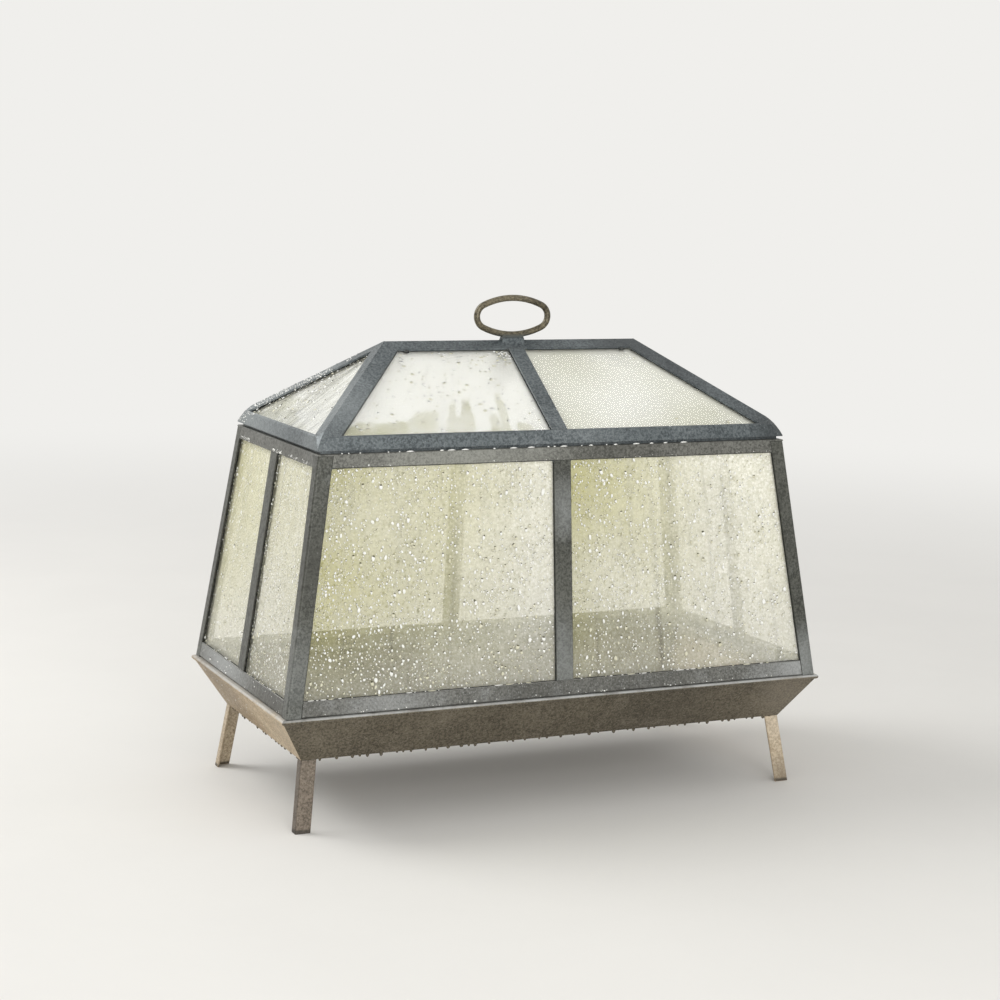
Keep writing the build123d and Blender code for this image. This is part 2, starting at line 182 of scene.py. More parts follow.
patches, pits, runs, spangle, zone = makePatches(), makePits(), makeRuns(), makeSpangle(), makeZone()


def patchMask(tree, vector, size, cover=0.5, soft=0.3):
    return useGroup(tree, patches, {"Vector": vector, "Size": size, "Cover": cover, "Soft": soft})[0]


def pitsOn(tree, vector, mark, share):
    if "shift" in mark:
        vector = stretched(tree, vector, (1, 1, 1), mark["shift"])
    inputs = {"Vector": vector, "Spacing": mark["spacing"], "Size": mark["size"], "Share": share}
    return useGroup(tree, pits, inputs)


def plus(tree, total, value, weight, clamp=False):
    return maths(tree, "ADD", total, maths(tree, "MULTIPLY", value, weight), clamp)


def paint(tree, colour, mask, weight, over):
    return blendColours(tree, maths(tree, "MULTIPLY", mask, weight), colour, over)


def relief(tree, height, strength, distance):
    inputs = {"Strength": strength, "Distance": distance, "Height": height}
    return wire(tree, "ShaderNodeBump", inputs).outputs[0]


# Materials

def newMaterial(name):
    material = bpy.data.materials.new(name)
    material.use_nodes = True
    tree = material.node_tree
    tree.nodes.clear()
    shader = tree.nodes.new("ShaderNodeBsdfPrincipled")
    tree.links.new(shader.outputs[0], wire(tree, "ShaderNodeOutputMaterial").inputs[0])
    place = wire(tree, "ShaderNodeTexCoord").outputs["Object"]
    return material, tree, shader, place


# tones: pale, dark, stain, bloom; shares: how much is stained, bloomed, run down, flecked and pitted
# bloomAndLightZones: centre, radius and how far the tone goes there to the bloom's (above 0) or the stain's
# (below 0); most are painted highlights, glints and shade, a few are real chalky bloom and stain
zincLooks = {
    "lidZinc": {
        "tones": ((108, 115, 117), (59, 66, 69), (50, 53, 54), (146, 152, 153)),
        "shares": (0.16, 0.16, 0.24, 0.34, 0.16), "metal": 0.35, "rough": 0.42, "shift": 0.3,
        "bloomAndLightZones": (((-0.205, -0.075, 0.391), 0.065, 0.60), ((-0.2445, 0.085, 0.358), 0.15, 0.75),
                  ((-0.2445, -0.10, 0.358), 0.04, 0.45), ((0.16, -0.028, 0.424), 0.09, -0.50),
                  ((0.118, -0.004, 0.4425), 0.055, -0.55),
                  ((0.242, -0.115, 0.362), 0.045, -0.70), ((0.035, -0.11, 0.365), 0.05, 0.25))},
    "railZinc": {
        "tones": ((119, 119, 113), (65, 65, 60), (58, 57, 49), (154, 155, 147)),
        "shares": (0.20, 0.16, 0.26, 0.36, 0.22), "metal": 0.30, "rough": 0.46, "shift": 1.7,
        "bloomAndLightZones": (((-0.095, -0.118, 0.345), 0.15, 0.62), ((0.06, -0.118, 0.345), 0.07, -0.28),
                  ((-0.244, -0.04, 0.345), 0.06, -0.35))},
    "postZinc": {
        "tones": ((95, 96, 89), (47, 48, 42), (44, 43, 36), (140, 143, 141)),
        "shares": (0.14, 0.18, 0.34, 0.26, 0.12), "metal": 0.32, "rough": 0.44, "shift": 2.3,
        "bloomAndLightZones": (((0.0, -0.122, 0.296), 0.040, 0.60), ((0.0, -0.137, 0.140), 0.080, 0.60),
                  ((-0.255, -0.125, 0.250), 0.065, -0.48), ((-0.262, -0.133, 0.150), 0.065, 0.40),
                  ((0.262, -0.135, 0.125), 0.050, 1.0))},
    "sillZinc": {
        "tones": ((122, 122, 117), (74, 74, 69), (58, 57, 52), (160, 162, 161)),
        "shares": (0.22, 0.24, 0.18, 0.55, 0.26), "metal": 0.25, "rough": 0.52, "shift": 3.1,
        "bloomAndLightZones": (((-0.178, -0.138, 0.120), 0.070, 0.52), ((-0.02, -0.138, 0.120), 0.13, -0.34),
                  ((0.10, -0.138, 0.120), 0.09, -0.26), ((0.262, -0.138, 0.120), 0.060, 1.0),
                  ((-0.275, 0.050, 0.120), 0.12, 0.95), ((-0.270, -0.105, 0.120), 0.07, -0.60))},
    "trayZinc": {
        "tones": ((112, 104, 88), (63, 57, 44), (48, 43, 35), (141, 132, 117)),
        "shares": (0.20, 0.20, 0.24, 0.60, 0.34), "metal": 0.22, "rough": 0.50, "shift": 4.9,
        "edge": 0.80, "edgeFrom": -0.70, "edgeTo": 0.20, "fold": 0.80,
        "bloomAndLightZones": (((0.255, -0.135, 0.095), 0.06, 0.50), ((0.12, -0.125, 0.085), 0.10, -0.25))},
    # the tray's end walls: the tray's zinc painted lighter and warmer, as if sunlit from the back left
    "sunlitEndZinc": {
        "tones": ((202, 178, 142), (133, 111, 79), (88, 73, 54), (214, 201, 177)),
        "shares": (0.22, 0.30, 0.34, 0.45, 0.30), "metal": 0.18, "rough": 0.52, "shift": 5.6,
        "edge": 0.85, "edgeFrom": -0.55, "edgeTo": 0.30, "fold": 0.70,
        "bloomAndLightZones": (((-0.275, 0.085, 0.095), 0.12, -0.50), ((-0.270, -0.110, 0.085), 0.07, 0.35))},
    "legZinc": {
        "tones": ((131, 119, 105), (80, 71, 59), (54, 46, 39), (147, 138, 123)),
        "shares": (0.14, 0.22, 0.34, 0.36, 0.36), "metal": 0.22, "rough": 0.50, "shift": 6.3,
        "foot": 0.0035, "flankShade": 0.36},
    "sunlitLegZinc": {
        "tones": ((205, 189, 162), (150, 133, 109), (78, 68, 55), (214, 201, 181)),
        "shares": (0.14, 0.22, 0.34, 0.36, 0.36), "metal": 0.18, "rough": 0.50, "shift": 6.9, "foot": 0.0030,
        "bloomAndLightZones": (((0.262, -0.129, 0.004), 0.040, -0.55), ((0.255, -0.120, 0.060), 0.030, 0.50))},
    "ringZinc": {
        "tones": ((118, 110, 89), (60, 55, 43), (50, 46, 37), (148, 139, 118)),
        "shares": (0.24, 0.24, 0.10, 0.40, 0.30), "metal": 0.45, "rough": 0.40, "shift": 7.7},
    "solderZinc": {
        "tones": ((104, 108, 106), (58, 62, 61), (50, 50, 46), (150, 156, 156)),
        "shares": (0.30, 0.10, 0.10, 0.20, 0.10), "metal": 0.40, "rough": 0.36, "shift": 8.2},
    # the solder's zinc painted darker: shade on the nubs under the ridge and on the dark lines along the bars
    "shadedSolderZinc": {
        "tones": ((58, 60, 57), (30, 32, 31), (24, 25, 23), (96, 99, 97)),
        "shares": (0.30, 0.05, 0.10, 0.16, 0.10), "metal": 0.30, "rough": 0.34, "shift": 9.1},
}
for look in zincLooks.values():
    look.update(zip(("pale", "dark", "stain", "bloom"), (srgb(*tone) for tone in look["tones"])))
    look.update(zip(("stained", "bloomed", "run", "flecked", "pitted"), look["shares"]))
neckLook = {"colour": srgb(74, 80, 80), "share": 0.9, "low": 0.4445, "high": 0.4490}     # solder up to here
footShadeLook = {"colour": srgb(40, 36, 30), "share": 0.8, "low": 0.6, "high": 1.5}           # painted contact shadow at the leg ends
# a painted highlight along the tray's rim lies between these heights, patchy like worn metal
rimHighlightLook = {"colour": srgb(194, 196, 194), "low": 0.1104, "high": 0.1118, "patch": 0.025, "cover": 0.6,
            "soft": 0.25, "least": 0.4}
flankShadeLook = {"from": -0.3, "to": -0.6}          # painted shade: how far a face turns to the left, away from the daylight
zoneLook = {"least": 0.75}
# patches that mottle the tone: size, softness, weight in the tone and in the relief
mottles = {
    "broad": (0.085, 0.30, 0.30, 0.40),
    "fine": (0.006, 0.26, 0.18, 0.40),
    "dust": (0.0022, 0.14, 0.46, 0.22),
}
contrast = (0.12, 0.88)
# sizes and spacings in metres, size of specks, flecks and grain as a share of the spacing
# weight: how far a mark changes the colour
marks = {
    "cells": {"size": 0.004, "weight": 0.08},
    "stain": {"size": 0.012, "soft": 0.05, "weight": 0.34},
    "bloom": {"size": 0.05, "soft": 0.16, "shift": (9, 4, 2), "weight": (0.35, 0.85),
              "rough": 0.22, "dull": 0.7},
    "streak": {"size": 0.006, "weight": 0.22},
    "speck": {"spacing": 0.0046, "size": 0.17, "weight": 0.9, "relief": 0.5},
    "fleck": {"spacing": 0.0021, "size": 0.34, "weight": 0.42, "shift": (3, 7, 5)},
    "grain": {"spacing": 0.0018, "size": 0.40, "weight": 0.55, "share": 0.30},
}


def zinc(name, look):
    material, tree, shader, place = newMaterial(name)
    vector = stretched(tree, place, (1, 1, 1), (look["shift"], look["shift"] / 3, 0))
    masks = {key: patchMask(tree, vector, size, soft=soft) for key, (size, soft, _, _) in mottles.items()}
    fine, dust = masks["fine"], masks["dust"]
    cells = useGroup(tree, spangle, {"Vector": vector, "Size": marks["cells"]["size"]})[0]
    stain = patchMask(tree, vector, marks["stain"]["size"], look["stained"], marks["stain"]["soft"])
    moved = stretched(tree, vector, (1, 1, 1), marks["bloom"]["shift"])
    bloom = patchMask(tree, moved, marks["bloom"]["size"], look["bloomed"], marks["bloom"]["soft"])
    streak = useGroup(tree, runs, {"Vector": vector, "Width": marks["streak"]["size"], "Cover": look["run"]})[0]
    speck = pitsOn(tree, vector, marks["speck"], look["pitted"])
    fleck = pitsOn(tree, vector, marks["fleck"], look["flecked"])
    grain = pitsOn(tree, vector, marks["grain"], marks["grain"]["share"])

    tone = height = 0.0
    for key, (_, _, inTone, inRelief) in mottles.items():
        tone = plus(tree, tone, masks[key], inTone)
        height = plus(tree, height, masks[key], inRelief)
    tone = fade(tree, plus(tree, tone, cells, marks["cells"]["weight"], clamp=True), *contrast)
    colour = blendColours(tree, tone, look["dark"], look["pale"])
    chalk = maths(tree, "MULTIPLY", bloom, fade(tree, dust, 0.1, 0.9, *marks["bloom"]["weight"]))
    colour = blendColours(tree, chalk, colour, look["bloom"])
    # painted highlights, glints and shade in set places, with some real bloom and stain
    for centre, radius, share in look.get("bloomAndLightZones", ()):
        near = useGroup(tree, zone, {"Vector": place, "Centre": centre, "Radius": radius})[0]
        near = maths(tree, "MULTIPLY", near, fade(tree, dust, 0, 1, zoneLook["least"] * abs(share), abs(share)))
        colour = blendColours(tree, near, colour, look["bloom" if share > 0 else "stain"])
    colour = paint(tree, colour, streak, marks["streak"]["weight"], look["stain"])
    colour = paint(tree, colour, stain, marks["stain"]["weight"], look["stain"])
    colour = paint(tree, colour, fleck[0], marks["fleck"]["weight"], look["bloom"])
    dots = maths(tree, "MULTIPLY", speck[0], marks["speck"]["weight"])
    dots = plus(tree, dots, grain[0], marks["grain"]["weight"])
    colour = blendColours(tree, dots, colour, look["stain"])
    level = wire(tree, "ShaderNodeSeparateXYZ", {0: place}).outputs["Z"]
    if name == "ringZinc":
        neck = fade(tree, level, neckLook["low"], neckLook["high"], neckLook["share"], 0.0)
        colour = blendColours(tree, neck, colour, neckLook["colour"])
    # painted shade: faces that turn to the left, away from the daylight, blend toward the stain colour
    if "flankShade" in look:
        facing = wire(tree, "ShaderNodeNewGeometry").outputs["True Normal"]
        facing = wire(tree, "ShaderNodeSeparateXYZ", {0: facing}).outputs["X"]
        away = fade(tree, facing, flankShadeLook["from"], flankShadeLook["to"], 0.0, look["flankShade"])
        colour = blendColours(tree, away, colour, look["stain"])
    # painted highlight along the tray's rim, patchy
    if "fold" in look:
        rub = patchMask(tree, vector, rimHighlightLook["patch"], rimHighlightLook["cover"], rimHighlightLook["soft"])
        paintedHighlight = maths(tree, "MULTIPLY", fade(tree, level, rimHighlightLook["low"], rimHighlightLook["high"], 0.0, look["fold"]),
                     fade(tree, rub, 0, 1, rimHighlightLook["least"], 1.0))
        colour = blendColours(tree, paintedHighlight, colour, rimHighlightLook["colour"])
    # painted contact shadow: the leg ends darken toward the ground
    if "foot" in look:
        low, high = look["foot"] * footShadeLook["low"], look["foot"] * footShadeLook["high"]
        footShade = fade(tree, level, low, high, footShadeLook["share"], 0.0)
        colour = blendColours(tree, footShade, colour, footShadeLook["colour"])

    rough = plus(tree, look["rough"], bloom, marks["bloom"]["rough"])
    rough = maths(tree, "SUBTRACT", rough, maths(tree, "MULTIPLY", fine, 0.12), clamp=True)
    dull = maths(tree, "MULTIPLY", bloom, look["metal"] * marks["bloom"]["dull"])
    metallic = maths(tree, "SUBTRACT", look["metal"], dull, clamp=True)

    height = plus(tree, height, speck[1], marks["speck"]["relief"])
    normal = relief(tree, height, 0.5, 0.0006)
    feed(tree, shader, {"Base Color": colour, "Roughness": rough, "Metallic": metallic, "Normal": normal})
    return material


# lift: how far the bloom's colour goes to the painted highlight's; below and above: how far a face looks up,
# from painted shade to painted highlight
edgeLook = {"lift": 0.42, "below": 0.60, "above": 0.92, "patch": 0.018, "cover": 0.6, "soft": 0.22,
            "least": 0.35, "rough": 0.34, "paintedHighlight": srgb(255, 252, 244)}


def litAndRubbedEdge(name, look):
    # folds and cut edges: painted highlight where they face up and painted shade where they face down, patchy
    # like worn metal
    material, tree, shader, place = newMaterial(name + "Edge")
    facing = wire(tree, "ShaderNodeNewGeometry").outputs["True Normal"]
    level = wire(tree, "ShaderNodeSeparateXYZ", {0: facing}).outputs["Z"]
    rub = patchMask(tree, place, edgeLook["patch"], edgeLook["cover"], edgeLook["soft"])
    low, high = look.get("edgeFrom", edgeLook["below"]), look.get("edgeTo", edgeLook["above"])
    share = maths(tree, "MULTIPLY", fade(tree, level, low, high), fade(tree, rub, 0, 1, edgeLook["least"], 1.0))
    paintedHighlight = blendColours(tree, look.get("edge", edgeLook["lift"]), look["bloom"], edgeLook["paintedHighlight"])
    colour = blendColours(tree, share, look["dark"], paintedHighlight)
    rough = fade(tree, rub, 0, 1, look["rough"], edgeLook["rough"])
    feed(tree, shader, {"Base Color": colour, "Roughness": rough, "Metallic": look["metal"]})
    return material


metal = {name: zinc(name, look) for name, look in zincLooks.items()}
litAndRubbed = {name: litAndRubbedEdge(name, look) for name, look in zincLooks.items()}

glassLook = {"tint": srgb(253, 254, 251), "tint2": srgb(249, 252, 246), "clear": 0.05, "smear": 0.05,
             "rough": (0.02, 0.12), "ripple": 14.0}


def paneGlass(name):
    material, tree, shader, place = newMaterial(name)
    smear = patchMask(tree, place, glassLook["smear"], soft=0.2)
    ripple = wire(tree, "ShaderNodeTexNoise", {"Vector": place, "Scale": glassLook["ripple"], "Detail": 1.0})
    feed(tree, shader, {
        "Base Color": blendColours(tree, smear, glassLook["tint"], glassLook["tint2"]),
        "Roughness": fade(tree, smear, 0, 1, *glassLook["rough"]),
        "Normal": relief(tree, ripple.outputs[0], 0.12, 0.002),
        "Transmission Weight": 1.0, "IOR": 1.5, "Alpha": glassLook["clear"],
    })
    return material


# pale and shade: the bead colours, warm: where green growth outside shows through, clear: share let through,
# glow: daylight from behind, cover: least and most opaque, relief: strength of the bump
mistFilms = {
    "caseMist": {"pale": srgb(254, 252, 242), "shade": srgb(228, 226, 206), "warm": srgb(195, 190, 118),
                 "clear": 0.03, "glow": 0.09, "cover": (0.92, 1.06), "relief": 0.4},
    "lidMist": {"pale": srgb(254, 254, 249), "shade": srgb(245, 245, 238), "warm": srgb(202, 201, 176),
                "clear": 0.03, "glow": 0.0, "cover": (0.985, 1.01), "relief": 0.08},
}
mistBead = {"spacing": 0.0024, "size": 0.42, "share": 0.8, "weight": 0.45}
mistCloud = {"size": 0.0026, "soft": 0.12, "weight": 0.55}


def mistFilm(name, film):
    # breath-like condensation: thickness in the mesh's "mist" attribute, warmth in "warm"
    material, tree, shader, place = newMaterial(name)
    thick = wire(tree, "ShaderNodeAttribute", attribute_name="mist").outputs["Fac"]
    warm = wire(tree, "ShaderNodeAttribute", attribute_name="warm").outputs["Fac"]
    beads = pitsOn(tree, place, mistBead, mistBead["share"])[0]
    cloud = patchMask(tree, place, mistCloud["size"], soft=mistCloud["soft"])
    tone = maths(tree, "MULTIPLY", cloud, mistCloud["weight"])
    tone = plus(tree, tone, beads, mistBead["weight"], clamp=True)
    pale = blendColours(tree, warm, film["pale"], film["warm"])
    deep = blendColours(tree, 0.20, film["warm"], film["shade"], "MULTIPLY")
    shade = blendColours(tree, warm, film["shade"], deep)
    colour = blendColours(tree, tone, shade, pale)
    cover = maths(tree, "MULTIPLY", thick, fade(tree, tone, 0, 1, *film["cover"]))
    feed(tree, shader, {
        "Base Color": colour, "Emission Color": colour, "Emission Strength": film["glow"],
        "Alpha": maths(tree, "MAXIMUM", cover, 0.0, clamp=True),
        "Normal": relief(tree, tone, film["relief"], 0.0004),
        "Roughness": 0.75, "Transmission Weight": film["clear"], "IOR": 1.08,
    })
    return material


# a bead focuses daylight at its foot and turns the dark ground upside down at its head
beadLooks = {
    "beadFoot": {"pale": srgb(255, 255, 253), "shade": srgb(250, 250, 242), "clear": 0.08, "rough": 0.12},
    "dimBeadFoot": {"pale": srgb(240, 237, 216), "shade": srgb(218, 215, 188), "clear": 0.15, "rough": 0.12},
    "caseBeadHead": {"pale": srgb(112, 110, 82), "shade": srgb(74, 72, 50), "clear": 0.12, "rough": 0.10},
    "lidBeadHead": {"pale": srgb(84, 85, 76), "shade": srgb(52, 53, 47), "clear": 0.0, "rough": 0.20},
    "metalBeadHead": {"pale": srgb(110, 112, 104), "shade": srgb(84, 86, 78), "clear": 0.45, "rough": 0.05},
    "drip": {"pale": srgb(132, 124, 108), "shade": srgb(104, 96, 82), "clear": 0.45, "rough": 0.05},
}


def waterBeads(name, look):
    material, tree, shader, place = newMaterial(name)
    cloud = patchMask(tree, place, 0.012)
    feed(tree, shader, {
        "Base Color": blendColours(tree, cloud, look["pale"], look["shade"]),
        "Roughness": fade(tree, cloud, 0, 1, look["rough"] * 0.5, look["rough"] * 1.5),
        "Transmission Weight": look["clear"], "IOR": 1.33,
    })
    return material


caseGlass = paneGlass("caseGlass")
lidGlass = paneGlass("lidGlass")
mistOn = {name: mistFilm(name, film) for name, film in mistFilms.items()}
bead = {name: waterBeads(name, look) for name, look in beadLooks.items()}


# Frame nodes: finish, and bevelled edges with painted highlight above and painted shade below

def zincOf(node):
    if node == "ring_handle":
        return "ringZinc"
    if node.startswith("leg_"):
        return "legZinc" if node == "leg_front_left" else "sunlitLegZinc"
    if node in ("tray_left_wall", "tray_right_wall"):
        return "sunlitEndZinc"
    if node.startswith("tray_"):
        return "trayZinc"
    if node.startswith("bottom_rail_"):
        return "sillZinc"
    if node.startswith(("post_", "mullion_")):
        return "postZinc"
    return "lidZinc" if bodyOf[node] == "lid" else "railZinc"


def smoothShading():
    group = bpy.data.node_groups.new("smoothShading", "GeometryNodeTree")
    for way in ("INPUT", "OUTPUT"):
        group.interface.new_socket(name="Geometry", in_out=way, socket_type="NodeSocketGeometry")
    given, out = group.nodes.new("NodeGroupInput"), group.nodes.new("NodeGroupOutput")
    smooth = group.nodes.new("GeometryNodeSetShadeSmooth")
    group.links.new(given.outputs[0], smooth.inputs[0])
    group.links.new(smooth.outputs[0], out.inputs[0])
    return group


wornEdge = {"width": 0.45 * mm, "rim": 1.05 * mm, "segments": 2, "angle": math.radians(38),
            "smoothing": smoothShading()}


def wearEdges(node):
    piece = nodes[node]
    piece.modifiers.new("weld", "WELD").merge_threshold = 0.01 * mm
    flat = piece.modifiers.new("flat", "DECIMATE")
    flat.decimate_type, flat.angle_limit = "DISSOLVE", math.radians(0.5)
    bevel = piece.modifiers.new("bevel", "BEVEL")
    bevel.width = wornEdge["rim" if node.startswith("tray_") else "width"]
    bevel.segments, bevel.limit_method = wornEdge["segments"], "ANGLE"
    bevel.angle_limit, bevel.use_clamp_overlap, bevel.material = wornEdge["angle"], True, 1
    piece.modifiers.new("smooth", "NODES").node_group = wornEdge["smoothing"]
    piece.modifiers.new("normals", "WEIGHTED_NORMAL").weight = 80


def dress(node, *materials):
    slots = nodes[node].data.materials
    slots.clear()
    for material in materials:
        slots.append(material)


glassNodes = [f"glass_{side}" for side in sides] + [f"lid_glass_{side}" for side in sides]
metalNodes = [node for node in nodes if node not in glassNodes]
for node in metalNodes:
    dress(node, metal[zincOf(node)], litAndRubbed[zincOf(node)])
    if node != "ring_handle":
        wearEdges(node)
for node in glassNodes:
    dress(node, lidGlass if bodyOf[node] == "lid" else caseGlass)
print("finishes set on", len(nodes), "frame nodes")


# Mesh helpers

def addPiece(name, verts, faces, material, body, slot, smooth=True):
    mesh = bpy.data.meshes.new(name)
    mesh.from_pydata([tuple(v) for v in verts], [], [tuple(f) for f in faces])
    mesh.validate()
    mesh.polygons.foreach_set("use_smooth", [smooth] * len(mesh.polygons))
    mesh.materials.append(material)
    piece = bpy.data.objects.new(name, mesh)
    scene.collection.objects.link(piece)
    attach(piece, body)
    return piece


def mergedMesh(node):
    work = bmesh.new()
    work.from_mesh(nodes[node].data)
    bmesh.ops.remove_doubles(work, verts=work.verts, dist=1e-6)
    work.faces.ensure_lookup_table()
    return work


metalVerts, metalFaces = [], []
for node in metalNodes:
    start = len(metalVerts)
    metalVerts += [v.co.copy() for v in nodes[node].data.vertices]
    metalFaces += [[start + i for i in polygon.vertices] for polygon in nodes[node].data.polygons]
metalTree = BVHTree.FromPolygons(metalVerts, metalFaces)


def clearOfMetal(point, gap):
    return metalTree.find_nearest(point, gap)[0] is None


class Pane:
    # one sheet of glass: its outer face as four corners (low left, low right, high right, high left)
    def __init__(self, normal, outline, thickness):
        self.normal, self.thickness = normal, thickness
        self.across = up.cross(normal).normalized()
        self.rise = normal.cross(self.across).normalized()
        flat = sorted(outline, key=lambda p: p.dot(self.rise))
        low = sorted(flat[:2], key=lambda p: p.dot(self.across))
        high = sorted(flat[2:], key=lambda p: p.dot(self.across))
        self.corners = [low[0], low[1], high[-1], high[0]]
        self.width = (self.corners[1] - self.corners[0]).length
        self.height = (self.corners[2] - self.corners[1]).dot(self.rise)

    def at(self, s, t, lift=0.0):
        low = self.corners[0].lerp(self.corners[1], s)
        high = self.corners[3].lerp(self.corners[2], s)
        return low.lerp(high, t) + self.normal * lift


def panesOf(node):
    work = mergedMesh(node)
    areas = {}
    for face in work.faces:
        key = tuple(round(c, 2) for c in face.normal)
        areas[key] = areas.get(key, 0) + face.calc_area()
    centre = sum((v.co for v in work.verts), Vector()) / len(work.verts)
    biggest = sorted(areas, key=areas.get)[-2:]
    outward = max(biggest, key=lambda key: Vector(key).dot(centre - middle))
    outer = [face for face in work.faces if face.normal.dot(Vector(outward)) > 0.995]
    normal = sum((face.normal * face.calc_area() for face in outer), Vector()).normalized()
    depths = [v.co.dot(normal) for v in work.verts]
    thickness = max(depths) - min(depths)
    panes, seen = [], set()
    for face in outer:
        if face in seen:
            continue
        island, todo = [], [face]
        while todo:
            current = todo.pop()
            if current in seen:
                continue
            seen.add(current)
            island.append(current)
            todo += [f for edge in current.edges for f in edge.link_faces if f in outer and f not in seen]
        points = {v.index: v.co.copy() for f in island for v in f.verts}
        panes.append(Pane(normal, list(points.values()), thickness))
    work.free()
    return sorted(panes, key=lambda pane: pane.corners[0].dot(pane.across))


def underMetal(pane, s, t):
    return metalTree.ray_cast(pane.at(s, t, 0.03), -pane.normal, 0.03)[0] is not None


def openingCorner(pane, side, end):
    # the bare glass's corner: side 0 left or 1 right, end 0 low or 1 high
    s, t = 0.25 + 0.5 * side, 0.25 + 0.5 * end
    step = 0.1 * mm
    while 0 < t < 1 and not underMetal(pane, s, t):
        t += (2 * end - 1) * step / pane.height
    t -= (2 * end - 1) * 1.2 * mm / pane.height
    while 0 < s < 1 and not underMetal(pane, s, t):
        s += (2 * side - 1) * step / pane.width
    t += (2 * end - 1) * 1.2 * mm / pane.height
    return s, t


panes = {node: panesOf(node) for node in glassNodes}
for node, found in panes.items():
    print(node, [(round(p.width / mm), round(p.height / mm)) for p in found])


# Mist on the inside of the panes, wiped by runs

# one entry per kind of wall; pairs of pairs go pane by pane, each from its left edge to its right one
# thick: share of the light that the mist stops, low: what is left of it at the foot, cell: size of the mesh
# tide: where growth has come up the first pane: place across, half width, top, strength
mistLooks = {
    "case": {
        "thick": ((0.58, 0.78), (0.60, 0.90)), "warm": ((1.0, -0.10), (0.95, -0.50)), "vary": 0.14,
        "streaky": 0.03, "low": 0.60, "runs": (12, 10), "wipe": 0.26, "cell": 0.0032, "tide": ()},
    "caseEnd": {
        "thick": ((0.80, 0.84), (0.72, 0.78)), "warm": ((0.50, 0.25), (0.40, 0.20)), "vary": 0.14,
        "streaky": 0.04, "low": 0.56, "runs": (3, 5), "wipe": 0.22, "cell": 0.0024, "tide": ()},
    "lid": {
        "thick": ((0.97, 0.97), (0.97, 0.97)), "warm": ((0.95, 0.95), (0.75, 0.75)), "vary": 0.05,
        "streaky": 0.0, "low": 0.98, "runs": (8, 1), "wipe": 0.04, "cell": 0.0016,
        "tide": ((0.20, 0.15, 0.20, 1.0), (0.40, 0.07, 0.31, 0.62), (0.535, 0.022, 0.42, 0.62),
                 (0.575, 0.05, 0.26, 0.55), (0.61, 0.026, 0.45, 0.75), (0.735, 0.024, 0.25, 0.75),
                 (0.785, 0.020, 0.52, 0.62), (0.87, 0.035, 0.15, 0.65), (0.50, 0.48, 0.055, 0.35))},
    "lidEnd": {
        "thick": ((0.66, 0.86),), "warm": ((0.70, 0.45),), "vary": 0.22,
        "streaky": 0.28, "low": 0.92, "runs": (16,), "wipe": 0.25, "cell": 0.0020,
        "tide": ((0.12, 0.20, 0.34, 0.9), (0.36, 0.10, 0.26, 0.75), (0.52, 0.05, 0.16, 0.7),
                 (0.68, 0.08, 0.10, 0.6))},
}
# pane number, place across and up it, radius as a share of its width, share of the mist that is gone
smudges = {"lid_glass_front": ((0, 0.91, 0.91, 0.07, 0.34), (0, 0.88, 0.76, 0.14, 0.24),
                               (0, 0.80, 0.60, 0.10, 0.12), (1, 0.72, 0.90, 0.16, 0.14))}
# start: share of the pane's width; top, cut and length: shares of its height; cutShare: how many start lower
# width, sway and soft edge in mm, wipe: share of the pane's own wipe, narrow: share of the width at its ends
# bends: waves to the pane's height, offset and share
runLook = {
    "start": (0.03, 0.97), "top": (0.9, 1.1), "cut": (0.45, 1.05), "cutShare": 0.45, "length": (0.15, 0.95),
    "width": (0.6, 2.4), "sway": (0.5, 3.5), "wipe": (0.45, 1.0), "narrow": 0.4, "edge": 1.6,
    "bends": ((5.0, 0, 1.0), (17.0, 4, 0.4)),
}
# size, fall-off, step and count of the octaves, and the streaks' waves across and up, to a metre
mistNoise = {"cloud": (16, 0.9, 2.1, 4), "streak": (260, 22)}


def kindOf(node):
    end = "End" if node.endswith(("left", "right")) else ""
    return ("lid" if bodyOf[node] == "lid" else "case") + end


class Run:
    # a track that a drop left on its way down a pane
    def __init__(self, rng, wipe):
        self.start = rng.uniform(*runLook["start"])
        self.high = rng.uniform(*runLook["cut" if rng.random() < runLook["cutShare"] else "top"])
        self.low = self.high - rng.uniform(*runLook["length"])
        self.width = rng.uniform(*runLook["width"]) * mm
        self.sway = rng.uniform(*runLook["sway"]) * mm
        self.seed = rng.uniform(0, 100)
        self.wipe = rng.uniform(*runLook["wipe"]) * wipe

    def across(self, t, width):
        # distance along the width, in metres, at a height t from 0 to 1
        bend = 0.0
        for waves, shift, share in runLook["bends"]:
            bend += share * noise.noise(Vector((self.seed, t * waves, shift)))
        return self.start * width + self.sway * bend


# size: waves to a metre, share: how far they move the tint, or the edge of the growth across and up the pane
tintNoise = {
    "patch": {"size": 9, "share": 0.9},
    "second": {"size": 14, "share": 0.5, "most": 0.55},      # the pane beside the one that growth has come up
    "across": ((110, 0.010), (45, 0.012)),
    "up": (140, 0.030),
    "body": ((60, 0.5), (300, 0.25)),
}
# all over the first pane, at the foot of the others, and in the growth itself
tintLeast = {"growth": 0.07, "foot": 0.20, "body": 0.80}


def smooth(x, low, high):
    k = np.clip((x - low) / (high - low), 0, 1)
    return k * k * (3 - 2 * k)


